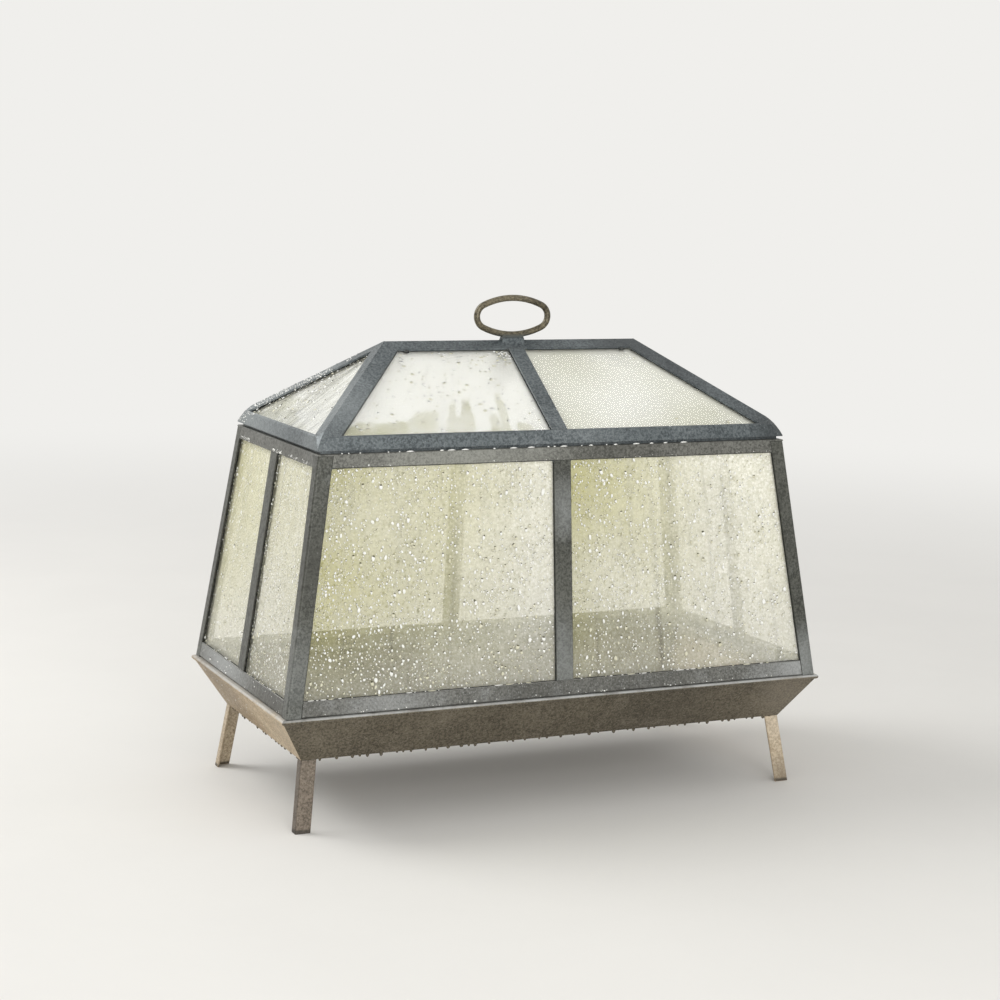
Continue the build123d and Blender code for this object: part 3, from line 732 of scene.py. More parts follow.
def tintAt(point, pane, look, number, s, t):
    # growth in patches and columns up from the foot of the first pane, over a faint all-round tint
    lean = look["warm"][number][0] * (1 - s) + look["warm"][number][1] * s
    if not look["tide"]:
        wave, least = tintNoise["patch"], tintLeast["foot"]
        patch = 1 + wave["share"] * noise.noise(point * wave["size"] + Vector((0, 0, 7)))
        return lean * (least + (1 - least) * float(smooth(t, 0.0, 0.50))) * patch
    if number:
        wave = tintNoise["second"]
        return lean * (wave["most"] + wave["share"] * noise.noise(point * wave["size"]))
    across = s + sum(share * noise.noise(point * size) for size, share in tintNoise["across"])
    size, share = tintNoise["up"]
    high = t + share * noise.noise(point * size + Vector((5, 0, 0)))
    most = 0.0
    for place, half, top, strength in look["tide"]:
        if high < top:
            reach = half * (1.2 - 0.6 * (high / top) ** 3)
            body = 1 - float(smooth(abs(across - place), reach * 0.75, reach * 1.1))
            most = max(most, strength * body * (1 - float(smooth(high, top * 0.8, top))))
    patch = tintLeast["body"] + sum(share * noise.noise(point * size) for size, share in tintNoise["body"])
    return lean * (tintLeast["growth"] + (1 - tintLeast["growth"]) * most * patch)


def smudgeAt(node, number, s, t):
    left = 1.0
    for pane, across, high, radius, share in smudges.get(node, ()):
        if pane == number:
            left *= 1 - share * (1 - float(smooth(math.hypot(s - across, (t - high) * 0.6), 0.0, radius)))
    return left


def mistSheet(node):
    look = mistLooks[kindOf(node)]
    body = bodyOf[node]
    (size, *octaves), (wide, tall) = mistNoise["cloud"], mistNoise["streak"]
    verts, faces, mist, warm, tracks = [], [], [], [], []
    for number, pane in enumerate(panes[node]):
        rng = random.Random(f"{node}{number}")
        tracks.append([Run(rng, look["wipe"]) for _ in range(look["runs"][number])])
        columns = max(8, int(pane.width / look["cell"]))
        rows = max(8, int(pane.height / look["cell"]))
        offset = len(verts)
        depth = -(pane.thickness + 0.12 * mm)
        thickLeft, thickRight = look["thick"][number]
        for row in range(rows + 1):
            t = row / rows
            left = pane.corners[0].lerp(pane.corners[3], t)
            right = pane.corners[1].lerp(pane.corners[2], t)
            span = (right - left).length
            wiped = np.ones(columns + 1)
            place = np.linspace(0, span, columns + 1)
            for track in tracks[number]:
                if not track.low < t < track.high:
                    continue
                # a track starts narrow and ends round
                ends = min(1.0, (track.high - t) * 12, (t - track.low) * 25)
                width = track.width * (runLook["narrow"] + (1 - runLook["narrow"]) * ends)
                away = np.abs(place - track.across(t, span))
                wiped *= 1 - track.wipe * ends * (1 - smooth(away, width * 0.4, width + runLook["edge"] * mm))
            for column in range(columns + 1):
                s = column / columns
                point = left.lerp(right, s)
                cloud = noise.fractal(point * size, *octaves)
                streak = Vector((point.dot(pane.across) * wide, point.dot(pane.rise) * tall, number * 7.0))
                thick = thickLeft * (1 - s) + thickRight * s
                thick = thick + look["vary"] * cloud * 0.8 + look["streaky"] * noise.noise(streak)
                thick *= look["low"] + (1 - look["low"]) * t
                thick *= float(wiped[column]) * smudgeAt(node, number, s, t)
                mist.append(min(0.99, max(0.02, thick)))
                warm.append(min(1.0, max(0.0, tintAt(point, pane, look, number, s, t))))
                verts.append(point + pane.normal * depth)
        for row in range(rows):
            for column in range(columns):
                a = offset + row * (columns + 1) + column
                faces.append((a, a + 1, a + columns + 2, a + columns + 1))
    film = mistOn["lidMist" if body == "lid" else "caseMist"]
    piece = addPiece(f"mist_{node}", verts, faces, film, body, f"{body}_glass")
    for label, values in (("mist", mist), ("warm", warm)):
        piece.data.attributes.new(label, "FLOAT", "POINT").data.foreach_set("value", values)
    return tracks


tracksOf = {node: mistSheet(node) for node in glassNodes}
print("mist laid on", len(glassNodes), "walls")


# Water drops

def dome(around, rings):
    # unit drop: x across, y uphill, z off the surface, heavier at its lower end
    points = []
    for ring in range(rings):
        turn = ring / rings * math.pi / 2
        for k in range(around):
            angle = 2 * math.pi * k / around
            x, y = math.cos(angle) * math.cos(turn), math.sin(angle) * math.cos(turn)
            points.append((x, y, math.sin(turn) * (1 - 0.18 * y)))
    points.append((0, 0, 1))
    faces = []
    for ring in range(rings - 1):
        for k in range(around):
            a, b = ring * around + k, ring * around + (k + 1) % around
            faces.append((a, b, b + around, a + around))
    last = (rings - 1) * around
    faces += [(last + k, last + (k + 1) % around, rings * around) for k in range(around)]
    faces.append(tuple(reversed(range(around))))
    return np.array(points), faces


smallDrop, largeDrop = dome(6, 2), dome(10, 3)


def dropPiece(name, drops, body, slot, foot, head, dimFoot=None):
    # drops: (place, normal, uphill, radius, height, stretch, seed, share of the drop that is its dark head)
    verts, faces, parts = [], [], []
    for place, normal, uphill, radius, height, stretch, seed, dark in drops:
        points, pattern = largeDrop if radius > 0.95 * mm else smallDrop
        across = uphill.cross(normal)
        angle = np.arctan2(points[:, 1], points[:, 0])
        wobble = 1 + 0.10 * np.sin(2 * angle + seed) + 0.07 * np.sin(3 * angle + seed * 1.7)
        x = points[:, 0] * wobble * radius
        y = points[:, 1] * wobble * radius * stretch
        z = points[:, 2] * height + 0.03 * mm
        start = len(verts)
        place, across, hill, off = (np.array(v) for v in (place, across, uphill, normal))
        verts += list(place + np.outer(x, across) + np.outer(y, hill) + np.outer(z, off))
        faces += [tuple(start + i for i in face) for face in pattern]
        below = 2 if dimFoot and (radius < 0.5 * mm or seed < 2.2) else 0
        parts += [1 if np.mean([points[i, 1] for i in face]) > 0.9 - dark else below for face in pattern]
    piece = addPiece(name, verts, faces, foot, body, slot)
    piece.data.materials.append(head)
    if dimFoot:
        piece.data.materials.append(dimFoot)
    piece.data.polygons.foreach_set("material_index", parts)
    return piece


# perArea: drops to a square metre, pane by pane; middle, spread and largest: radii in mm
# flat: height as a share of the radius
# heads: share of drops with a dark head, at the left edge and at the right one
# dark: how much of such a drop its head is, left: how much barer the right edge is than the left one
dropLooks = {
    "case": {"perArea": (145000, 105000), "middle": 0.70, "spread": 0.38, "largest": 1.9,
             "stretch": (1.0, 1.8), "flat": 0.50, "heads": (0.45, 0.80), "dark": 0.48, "left": 0.40},
    "caseEnd": {"perArea": (70000, 170000), "middle": 0.62, "spread": 0.34, "largest": 1.6,
                "stretch": (0.9, 1.5), "flat": 0.40, "heads": (0.40, 0.40), "dark": 0.50, "left": 0.20},
    "lid": {"perArea": (27000, 1500), "middle": 1.10, "spread": 0.38, "largest": 2.3,
            "stretch": (0.45, 0.80), "flat": 0.20, "heads": (0.80, 0.90), "dark": 0.78, "left": -0.15},
    "lidEnd": {"perArea": (60000,), "middle": 1.05, "spread": 0.40, "largest": 2.0,
               "stretch": (0.6, 1.2), "flat": 0.22, "heads": (0.95, 0.50), "dark": 0.80, "left": 0.85},
}
# pane number, place across and up it, spread as a share of its width, how many, radii, stretch, flatness
clusters = {"lid_glass_front": (0, 0.905, 0.915, 0.030, 150, (0.9, 1.6), 0.9, 0.30)}
# the drop that made a run, and the beads that it left behind: radii, stretches and flatness
trackDrops = {
    "foot": ((0.9, 1.5), (1.2, 2.0), 0.6),
    "beads": ((0.3, 0.7), (1.0, 1.6), 0.5),
    "gap": (0.012, 0.05),          # as a share of the pane's height
}
# below this noise a bead on metal is left out, spread of the radii, scatter about a spot in metres
wetLook = {"sparse": (-0.45, 0.25), "spread": 0.35, "scatter": 0.007, "flat": 0.55, "stretch": (0.9, 1.3)}


def paneDrops(node):
    look = dropLooks[kindOf(node)]
    rng = random.Random("drops" + node)
    taken, drops = {}, []

    def free(point, radius):
        # keeps drops from running into each other
        cell = 5 * mm
        key = tuple(int(c // cell) for c in point)
        for dx in (-1, 0, 1):
            for dy in (-1, 0, 1):
                for dz in (-1, 0, 1):
                    for other, size in taken.get((key[0] + dx, key[1] + dy, key[2] + dz), ()):
                        if (other - point).length < size + radius:
                            return False
        taken.setdefault(key, []).append((point, radius))
        return True

    def lay(pane, s, t, radius, stretch, flat):
        point = pane.at(s, t, 0)
        reach = radius * max(1, stretch)
        if not clearOfMetal(point, reach + 0.8 * mm) or not free(point, reach * 0.9):
            return
        uphill = Matrix.Rotation(rng.gauss(0, 0.30), 3, pane.normal) @ pane.rise
        chance = look["heads"][0] * (1 - s) + look["heads"][1] * s
        dark = look["dark"] * rng.uniform(0.7, 1.2) if rng.random() < chance else 0.0
        drops.append((point, pane.normal, uphill, radius, radius * flat * rng.uniform(0.8, 1.15), stretch,
                      rng.uniform(0, 6), dark))

    def layOnTrack(pane, top, track, t, radii, stretches, flat):
        width = pane.width * (1 - t) + top * t
        s = track.across(t, width) / width
        lay(pane, s, t, rng.uniform(*radii) * mm, rng.uniform(*stretches), flat)

    for number, pane in enumerate(panes[node]):
        top = (pane.corners[2] - pane.corners[3]).length
        area = pane.height * (pane.width + top) / 2
        for track in tracksOf[node][number]:
            t = max(0.05, track.low)
            layOnTrack(pane, top, track, t, *trackDrops["foot"])
            t += 0.02
            while t < min(0.97, track.high):
                if rng.random() < 0.5:
                    layOnTrack(pane, top, track, t, *trackDrops["beads"])
                t += rng.uniform(*trackDrops["gap"])
        for _ in range(int(area * look["perArea"][number])):
            s, t = rng.random(), rng.random()
            radius = math.exp(rng.gauss(math.log(look["middle"]), look["spread"]))
            radius = min(look["largest"], radius) * mm
            crowd = noise.noise(pane.at(s, t) * 30) * 0.6 + 0.75 - look["left"] * s
            if rng.random() < crowd:
                lay(pane, s, t, radius, rng.uniform(*look["stretch"]), look["flat"])
    if node in clusters:
        number, s, t, spread, count, radii, stretch, flat = clusters[node]
        for _ in range(count):
            across, high = rng.gauss(s, spread), rng.gauss(t, spread * 1.6)
            lay(panes[node][number], across, high, rng.uniform(*radii) * mm, stretch, flat)
    head = bead["caseBeadHead" if kindOf(node) == "case" else "lidBeadHead"]
    body, foot, dimFoot = bodyOf[node], bead["beadFoot"], bead["dimBeadFoot"]
    piece = dropPiece(f"drops_{node}", drops, body, f"{body}_glass", foot, head, dimFoot)
    print(piece.name, len(drops), "drops,", len(piece.data.polygons), "faces")


for node in glassNodes:
    paneDrops(node)


# Wet metal

# low and high: corners of the field that beads are cast from, way: the way they go, size: middle radius in mm,
# crowd: how small the gatherings are, spots: where along y they gather
wetFields = {
    "topRailLeft": {"on": "top_rail_left", "low": (-0.30, -0.118, 0.3380), "high": (-0.30, 0.118, 0.3412),
                    "way": (1, 0, 0.0), "count": 130, "size": 0.62, "crowd": 21,
                    "spots": (0.085, -0.008, -0.055, -0.088)},
    "topRailFront": {"on": "top_rail_front", "low": (-0.235, -0.20, 0.3380), "high": (0.235, -0.20, 0.3395),
                     "way": (0, 1, 0), "count": 40, "size": 0.42, "crowd": 17},
    "hipBackLeft": {"on": "hip_back_left", "low": (-0.30, 0.020, 0.380), "high": (-0.30, 0.118, 0.480),
                    "way": (1, 0, -0.35), "count": 9000, "size": 0.66, "crowd": 40},
    "eaveLeft": {"on": "eave_left", "low": (-0.30, 0.076, 0.354), "high": (-0.30, 0.116, 0.368),
                 "way": (1, 0, 0), "count": 90, "size": 0.62, "crowd": 40},
    "sillFront": {"on": "bottom_rail_front", "low": (-0.26, -0.20, 0.1150), "high": (0.26, -0.20, 0.1168),
                  "way": (0, 1, 0), "count": 60, "size": 0.50, "crowd": 9},
    "sillLeft": {"on": "bottom_rail_left", "low": (-0.33, -0.12, 0.1150), "high": (-0.33, 0.12, 0.1275),
                 "way": (1, 0, 0), "count": 60, "size": 0.55, "crowd": 9},
    "trayEndLeft": {"on": "tray_left_wall", "low": (-0.33, -0.12, 0.075), "high": (-0.33, 0.12, 0.105),
                    "way": (1, 0, 0), "count": 50, "size": 0.55, "crowd": 9},
}


def treeOf(node):
    data = nodes[node].data
    return BVHTree.FromPolygons([v.co.copy() for v in data.vertices], [list(p.vertices) for p in data.polygons])


def wetField(name, field):
    rng = random.Random(name)
    tree = treeOf(field["on"])
    way = Vector(field["way"]).normalized()
    low, high = Vector(field["low"]), Vector(field["high"])
    drops = []
    for _ in range(field["count"]):
        start = Vector([rng.uniform(a, b) for a, b in zip(low, high)])
        if "spots" in field:
            start.y = rng.choice(field["spots"]) + rng.gauss(0, wetLook["scatter"])
        radius = field["size"] * math.exp(rng.gauss(0, wetLook["spread"])) * mm
        if noise.noise(start * field["crowd"]) < rng.uniform(*wetLook["sparse"]):
            continue
        place, normal, _, _ = tree.ray_cast(start, way)
        if place is None or normal.dot(way) > -0.2:
            continue
        if any((place - other[0]).length < radius + other[3] for other in drops):
            continue
        uphill = (up - normal * up.dot(normal)).normalized()
        stretch, seed = rng.uniform(*wetLook["stretch"]), rng.uniform(0, 6)
        drops.append((place, normal, uphill, radius, radius * wetLook["flat"], stretch, seed, 0.5))
    body = bodyOf[field["on"]]
    dropPiece(f"wet_{name}", drops, body, f"{body}_metal", bead["beadFoot"], bead["metalBeadHead"])
    return len(drops)


print("beads on metal:", {name: wetField(name, field) for name, field in wetFields.items()})

# lengths and gaps in mm
sillLook = {"lengths": (1.6, 2.6, 4.0, 7.0, 11.0), "gaps": (0.4, 1.2, 3.0, 9.0, 24.0),
            "radius": 0.55, "height": 0.7}


def sillWater():
    # water that lies along the foot of the panes, on top of the sill
    drops = []
    for node in glassNodes[:4]:
        rng = random.Random("sill" + node)
        for pane in panes[node]:
            start, stop = (pane.at(*openingCorner(pane, side, 0)) for side in (0, 1))
            along = (stop - start).normalized()
            place = rng.uniform(2, 14) * mm
            while place < (stop - start).length - 0.012:
                length = rng.choice(sillLook["lengths"]) * mm
                at = start + along * (place + length / 2) + pane.rise * 0.35 * mm
                radius, seed = sillLook["radius"] * mm, rng.uniform(0, 6)
                stretch = length / mm / 1.1
                drops.append((at, pane.normal, along, radius, sillLook["height"] * mm, stretch, seed, 0.0))
                place += length + rng.choice(sillLook["gaps"]) * mm
    dim = bead["dimBeadFoot"]
    dropPiece("sill_water", drops, "housing", "housing_glass", bead["beadFoot"], dim, dim)
    return len(drops)


dripLook = {"least": 6, "most": 19, "radius": (1.1, 2.0), "length": (1.0, 1.7)}


def trayDrips():
    # drops that hang from the lower edge of the tray
    rng = random.Random("drips")
    low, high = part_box("tray_floor")
    drops = []
    front = (Vector((0, -1, 0)), Vector((1, 0, 0)), high[0])
    left = (Vector((-1, 0, 0)), Vector((0, 1, 0)), high[1])
    for normal, along, reach in (front, left):
        edge = -low[1] if normal.y else -low[0]
        place = -reach + 0.006
        while place < reach - 0.004:
            at = normal * (edge - 0.0002) + along * place + up * low[2]
            radius = rng.uniform(*dripLook["radius"]) * mm
            length = radius * rng.uniform(*dripLook["length"])
            drops.append((at, -up, normal, radius, length, 0.7, rng.uniform(0, 6), 0.5))
            place += rng.uniform(dripLook["least"], dripLook["most"]) * mm
    dropPiece("drips_tray", drops, "tray", "tray_metal", bead["drip"], bead["drip"])
    return len(drops)


# lengths and gaps in mm, to: how far along the front
slitLook = {"lengths": (1.6, 2.6, 5.0, 9.0), "gaps": (2, 26), "to": 0.14, "radius": 0.75, "height": 1.1}


def slitWater():
    # beads that lie along the slit under the lid, where the daylight catches them
    rng = random.Random("slit")
    drops = []
    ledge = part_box("top_rail_front")
    y, z = ledge[0][1] + 0.0022, ledge[1][2]
    place = ledge[0][0] + 0.022
    radius, height = slitLook["radius"] * mm, slitLook["height"] * mm
    while place < slitLook["to"]:
        length = rng.choice(slitLook["lengths"]) * mm
        at = Vector((place + length / 2, y, z))
        drops.append((at, up, Vector((-1, 0, 0)), radius, height, length / mm / 1.5, 1.0, 0.0))
        place += length + rng.uniform(*slitLook["gaps"]) * mm
    dropPiece("slit_beads", drops, "housing", "housing_metal", bead["beadFoot"], bead["beadFoot"])
    return len(drops)


print("drips", trayDrips(), "slit beads", slitWater(), "sill water", sillWater())


# Solder

# lengths in mm
solderLook = {
    # half width, half height, thickness; in from the corner and down from the top
    "nub": {"size": (3.0, 2.3, 2.2), "in": 9.5, "drop": 0.9},
    # half widths at head and foot; points out from the ridge and above it: neck's face, bend, foot on the bar
    "neck": {"halves": (11.6, 13.4), "head": (3.2, 2.4), "bend": (3.3, -2.2), "foot": (8.2, -5.4),
             "rows": 8, "across": 12},
    # the lid's corner at the fold over the eave and at the eave's foot, and the ridge's end
    "corner": {"fold": (241.5, 114.5, 364.8), "eave": (244.5, 117.5, 353.0), "ridge": (135.5, 0.0, 441.8),
               "up": 18.0, "along": 10.6, "foot": 0.6, "raise": 1.7, "proud": 0.30, "steps": 14, "across": 6},
    "fillet": {"least": 1.8, "most": 3.6, "thick": 1.0, "under": 0.7, "steps": 5},
    # painted shadow where the bars meet the glass: widest and narrowest reach, how far under the bar, thickness
    # and step
    "shadowSeam": {"wide": 0.85, "least": 0.35, "under": 0.4, "thick": 0.22, "step": 5.0},
}


def lump(place, normal, uphill, size, seed):
    # a smooth low lump: half width across, half height uphill, thickness
    points, pattern = dome(16, 4)
    angle = np.arctan2(points[:, 1], points[:, 0])
    wobble = 1 + 0.05 * np.sin(2 * angle + seed) + 0.05 * np.sin(3 * angle + seed * 2)
    x, y = points[:, 0] * wobble * size[0] * mm, points[:, 1] * wobble * size[1] * mm
    z = points[:, 2] * size[2] * mm
    across = uphill.cross(normal)
    verts = np.array(place) + np.outer(x, across) + np.outer(y, uphill) + np.outer(z - 0.05 * mm, normal)
    return list(verts), pattern


def gather(parts):
    verts, faces = [], []
    for points, pattern in parts:
        faces += [tuple(len(verts) + i for i in face) for face in pattern]
        verts += points
    return verts, faces


def addSolder(name, parts, look, body, smooth=False):
    addPiece(name, *gather(parts), metal[look], body, f"{body}_metal", smooth)
    return len(parts)


def fillet(pane, side, end, radius):
    # solder drawn into a corner between two bars, its free edge hollow
    look = solderLook["fillet"]
    s, t = openingCorner(pane, side, end)
    inward = pane.across * (1 - 2 * side)
    lean = (pane.at(s, 0.5 + 0.5 * end) - pane.at(s, 0.5 * end)).normalized()
    down = lean * (1 - 2 * end)
    corner = pane.at(s, t)
    centre = corner + (inward + down) * radius
    turns = [k / look["steps"] * math.pi / 2 for k in range(look["steps"] + 1)]
    arc = [centre - (down * math.cos(a) + inward * math.sin(a)) * radius for a in turns]
    under = look["under"] * mm
    ring = [corner - (inward + down) * under, arc[0] - down * under] + arc + [arc[-1] - inward * under]
    base, top = -pane.normal * 0.1 * mm, pane.normal * look["thick"] * mm
    count = len(ring)
    verts = [p + base for p in ring] + [p + top for p in ring]
    faces = [tuple(range(count, 2 * count)), tuple(reversed(range(count)))]
    faces += [(i, (i + 1) % count, (i + 1) % count + count, i + count) for i in range(count)]
    if (verts[1] - verts[0]).cross(verts[2] - verts[0]).dot(pane.normal) < 0:
        faces = [tuple(reversed(face)) for face in faces]
    return verts, faces


def paneSolder(body):
    rng = random.Random("solder" + body)
    look = solderLook["fillet"]
    parts = []
    for node in glassNodes:
        for pane in panes[node] if bodyOf[node] == body else ():
            for side in (0, 1):
                parts.append(fillet(pane, side, 1, rng.uniform(look["least"], look["most"]) * mm))
    return addSolder(f"solder_{body}_panes", parts, "solderZinc", body)


def shadowSeam(pane, ends, inward):
    # painted shadow: a dark line on the glass where a bar meets it; its free edge wanders
    look = solderLook["shadowSeam"]
    start, stop = ends
    count = max(2, round((stop - start).length / (look["step"] * mm)))
    verts = []
    for i in range(count + 1):
        point = start.lerp(stop, i / count)
        reach = look["least"] + (look["wide"] - look["least"]) * (0.5 + 0.5 * noise.noise(point * 70))
        for lift in (-0.1, look["thick"]):
            verts += [point + (pane.normal * lift - inward * look["under"]) * mm,
                      point + (inward * reach + pane.normal * lift) * mm]
    sections = ((0, 4, 5, 1), (2, 3, 7, 6), (1, 5, 7, 3), (0, 2, 6, 4))
    faces = [tuple(4 * i + k for k in face) for i in range(count) for face in sections]
    last = 4 * count
    faces += [(0, 1, 3, 2), (last, last + 2, last + 3, last + 1)]
    if (verts[3] - verts[2]).cross(verts[7] - verts[3]).dot(pane.normal) < 0:
        faces = [tuple(reversed(face)) for face in faces]
    return verts, faces


def paneShadowSeams(body):
    parts = []
    for node in glassNodes:
        for pane in panes[node] if bodyOf[node] == body else ():
            low, high = ([pane.at(*openingCorner(pane, side, end)) for side in (0, 1)] for end in (0, 1))
            centre = (low[0] + low[1] + high[0] + high[1]) / 4
            for ends in (low, high, (low[0], high[0]), (low[1], high[1])):
                along = ends[1] - ends[0]
                if along.length > 12 * mm:
                    inward = pane.normal.cross(along).normalized()
                    inward *= 1 if inward.dot(centre - ends[0]) > 0 else -1
                    parts.append(shadowSeam(pane, ends, inward))
    return addSolder(f"seams_{body}", parts, "shadedSolderZinc", body)


def sheetOf(grid, under):
    # closes a grid of points (rows of equal length) into a thin solid by a copy pushed in
    rows, columns = len(grid), len(grid[0])
    verts = [p for row in grid for p in row] + [p + under for row in grid for p in row]
    back = rows * columns
    faces = []
    for i in range(rows - 1):
        for j in range(columns - 1):
            a, d = i * columns + j, (i + 1) * columns + j
            b, c = a + 1, d + 1
            faces += [(a, b, c, d), (back + d, back + c, back + b, back + a)]
    rim = [(0, j) for j in range(columns)] + [(i, columns - 1) for i in range(1, rows)]
    rim += [(rows - 1, j) for j in range(columns - 2, -1, -1)] + [(i, 0) for i in range(rows - 2, 0, -1)]
    ring = [i * columns + j for i, j in rim]
    faces += [(b, a, back + a, back + b) for a, b in zip(ring, ring[1:] + ring[:1])]
    if (grid[0][1] - grid[0][0]).cross(grid[1][0] - grid[0][0]).dot(under) > 0:
        faces = [tuple(reversed(face)) for face in faces]
    return verts, faces


def neckSolder(way):
    # solder drawn from the ring's neck down over the ridge bar
    look = solderLook["neck"]
    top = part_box("ridge_bar")[1][2] / mm
    spots = (look[key] for key in ("head", "bend", "foot"))
    head, bend, foot = (Vector((0, way * out, top + rise)) for out, rise in spots)
    grid = []
    for row in range(look["rows"] + 1):
        k = row / look["rows"]
        spine = head * (1 - k) ** 2 + bend * 2 * k * (1 - k) + foot * k ** 2
        half = look["halves"][0] * (1 - k) + look["halves"][1] * k
        half *= 1 - 0.5 * (2 * k - 1) ** 8 * k
        steps = [2 * j / look["across"] - 1 for j in range(look["across"] + 1)]
        grid.append([(spine + Vector((half * step, 0, 0))) * mm for step in steps])
    return sheetOf(grid, Vector((0, -way * 0.6, -0.9)) * mm)


def cornerSolder(signs):
    # the hip's foot, dressed down with solder over the eave rails: a fold from hip to corner
    look = solderLook["corner"]
    turn = Vector((signs[0], signs[1], 1))
    fold, eave, ridge = (Vector(look[key]) * turn for key in ("fold", "eave", "ridge"))
    head = fold + (ridge - fold).normalized() * look["up"]
    foot = eave + (fold - eave).normalized() * look["foot"]
    flanks = [fold - Vector((signs[0] * look["along"], 0, 0)), fold - Vector((0, signs[1] * look["along"], 0))]
    out = (flanks[0] - head).cross(flanks[1] - head).normalized()
    out *= 1 if out.z > 0 else -1
    grid = []
    for row in range(look["steps"] + 1):
        k = row / look["steps"]
        crest = head.lerp(foot, k) + out * (look["raise"] * 4 * k * (1 - k) + look["proud"] * min(1, 4 * k))
        rims = [head.lerp(side, 2 * k) if k < 0.5 else side.lerp(foot, 2 * k - 1) for side in flanks]
        line = []
        for j in range(-look["across"], look["across"] + 1):
            share = abs(j) / look["across"]
            point = crest.lerp(rims[0 if j < 0 else 1] + out * look["proud"] * 0.3, share)
            line.append((point + out * 0.10 * noise.noise(point * 0.35)) * mm)
        grid.append(line)
    return sheetOf(grid, -out * 1.2 * mm)


def lidSolder():
    # nubs that pin the panes under the ridge, the run at the foot of the ring, and the lid's corners
    nub = solderLook["nub"]
    parts = []
    for node, way in (("lid_glass_front", -1), ("lid_glass_back", 1)):
        for pane, side in zip(panes[node], (0, 1)):
            s, t = openingCorner(pane, side, 1)
            width = (pane.corners[2] - pane.corners[3]).length
            s += (1 - 2 * side) * nub["in"] * mm / width
            place = pane.at(s, t - nub["drop"] * mm / pane.height)
            parts.append(lump(place, pane.normal, pane.rise, nub["size"], side + way))
    addSolder("solder_nubs", parts, "shadedSolderZinc", "lid", smooth=True)
    addSolder("solder_neck", [neckSolder(way) for way in (-1, 1)], "lidZinc", "lid", smooth=True)
    addSolder("solder_corners", [cornerSolder((x, y)) for x in (-1, 1) for y in (-1, 1)], "lidZinc", "lid")


print("seams:", paneShadowSeams("housing"), paneShadowSeams("lid"))
print("solder fillets:", paneSolder("housing"), paneSolder("lid"))
lidSolder()


# Floor, air, lamps and camera

studio = {
    "floorColour": srgb(232, 230, 225),
    "airColour": srgb(240, 239, 236),
    "airStrength": 0.66,
    "floorRadius": 9.0,
    "fadeFrom": 0.6,           # metres out, where the floor starts to fade into the air
    "fadeTo": 3.0,
    "aim": (0.0, 0.0, 0.2),
    # place, size, watts
    "lamps": {"key": ((-1.5, 1.0, 1.9), 1.5, 28), "fill": ((-0.5, -2.5, 0.9), 1.8, 28)},
}
shot = {
    "lens": 77.29,
    "place": (-0.89604, -1.92394, 0.60615),
    "yaw": 0.4322,             # radians, turned right of straight ahead
    "pitch": 0.1520,           # looking down
    "roll": 0.0248,
}


def seen(tree):
    # 1 where the camera sees a surface itself, or in metal or through glass
    path = wire(tree, "ShaderNodeLightPath").outputs
    direct = maths(tree, "MAXIMUM", path["Is Camera Ray"], path["Is Glossy Ray"])
    return maths(tree, "MAXIMUM", direct, path["Is Transmission Ray"])


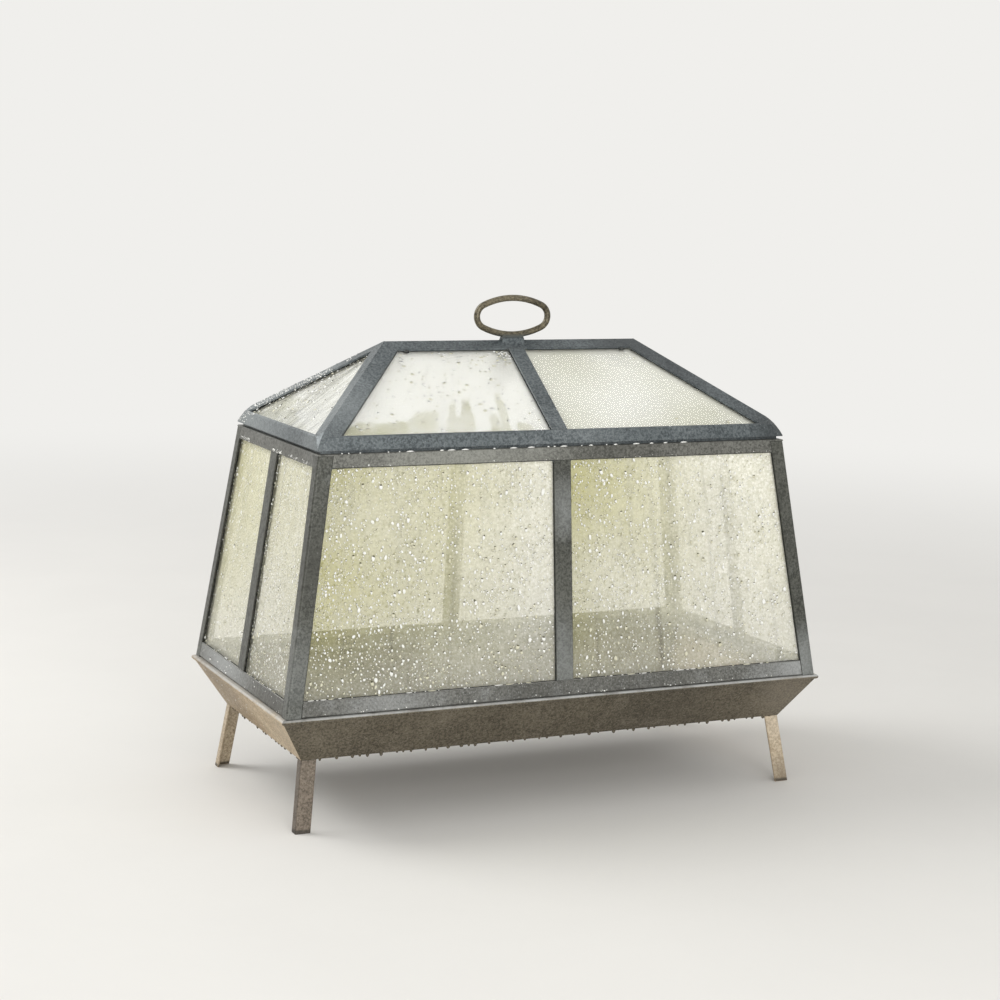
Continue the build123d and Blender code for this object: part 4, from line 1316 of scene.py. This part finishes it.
def makeFloor():
    mesh = bpy.data.meshes.new("floor")
    shape = bmesh.new()
    bmesh.ops.create_circle(shape, cap_ends=True, segments=96, radius=studio["floorRadius"])
    shape.to_mesh(mesh)
    shape.free()
    floor = bpy.data.objects.new("floor", mesh)
    scene.collection.objects.link(floor)
    material, tree, shader, place = newMaterial("paleFloor")
    grain = patchMask(tree, place, 0.25)
    pale = studio["floorColour"]
    colour = blendColours(tree, grain, pale, tuple(c * 0.97 for c in pale[:3]) + (1.0,))
    feed(tree, shader, {"Base Color": colour, "Roughness": 0.8})
    far = wire(tree, "ShaderNodeVectorMath", {0: place}, operation="LENGTH").outputs["Value"]
    air = wire(tree, "ShaderNodeEmission", {"Color": studio["airColour"], "Strength": 1.0}).outputs[0]
    share = maths(tree, "MULTIPLY", fade(tree, far, studio["fadeFrom"], studio["fadeTo"]), seen(tree))
    mixed = wire(tree, "ShaderNodeMixShader", {0: share, 1: shader.outputs[0], 2: air}).outputs[0]
    output = next(node for node in tree.nodes if node.type == "OUTPUT_MATERIAL")
    tree.links.new(mixed, output.inputs[0])
    mesh.materials.append(material)


def makeAir():
    world = bpy.data.worlds.new("air")
    scene.world = world
    world.use_nodes = True
    tree = world.node_tree
    tree.nodes.clear()
    light = {"Color": (1, 1, 1, 1), "Strength": studio["airStrength"]}
    lit = wire(tree, "ShaderNodeBackground", light).outputs[0]
    shown = wire(tree, "ShaderNodeBackground", {"Color": studio["airColour"], "Strength": 1.0}).outputs[0]
    mixed = wire(tree, "ShaderNodeMixShader", {0: seen(tree), 1: lit, 2: shown}).outputs[0]
    tree.links.new(mixed, wire(tree, "ShaderNodeOutputWorld").inputs[0])


def makeLamps():
    aim = Vector(studio["aim"])
    for name, (place, size, watts) in studio["lamps"].items():
        light = bpy.data.lights.new(name, "AREA")
        light.shape, light.size, light.energy = "DISK", size, watts
        lamp = bpy.data.objects.new(name, light)
        lamp.location = place
        lamp.rotation_euler = (Vector(place) - aim).to_track_quat("Z", "Y").to_euler()
        scene.collection.objects.link(lamp)


def makeCamera():
    yaw, pitch, roll = shot["yaw"], shot["pitch"], shot["roll"]
    ahead = Vector((math.sin(yaw) * math.cos(pitch), math.cos(yaw) * math.cos(pitch), -math.sin(pitch)))
    right = Vector((math.cos(yaw), -math.sin(yaw), 0))
    over = right.cross(ahead)
    x = right * math.cos(roll) + over * math.sin(roll)
    y = over * math.cos(roll) - right * math.sin(roll)
    lens = bpy.data.cameras.new("camera")
    lens.lens, lens.sensor_width = shot["lens"], 36.0
    camera = bpy.data.objects.new("camera", lens)
    camera.matrix_world = Matrix.Translation(shot["place"]) @ Matrix((x, y, -ahead)).transposed().to_4x4()
    scene.collection.objects.link(camera)
    scene.camera = camera


makeFloor()
makeAir()
makeLamps()
makeCamera()
scene.view_settings.view_transform = "Standard"
print("studio ready")
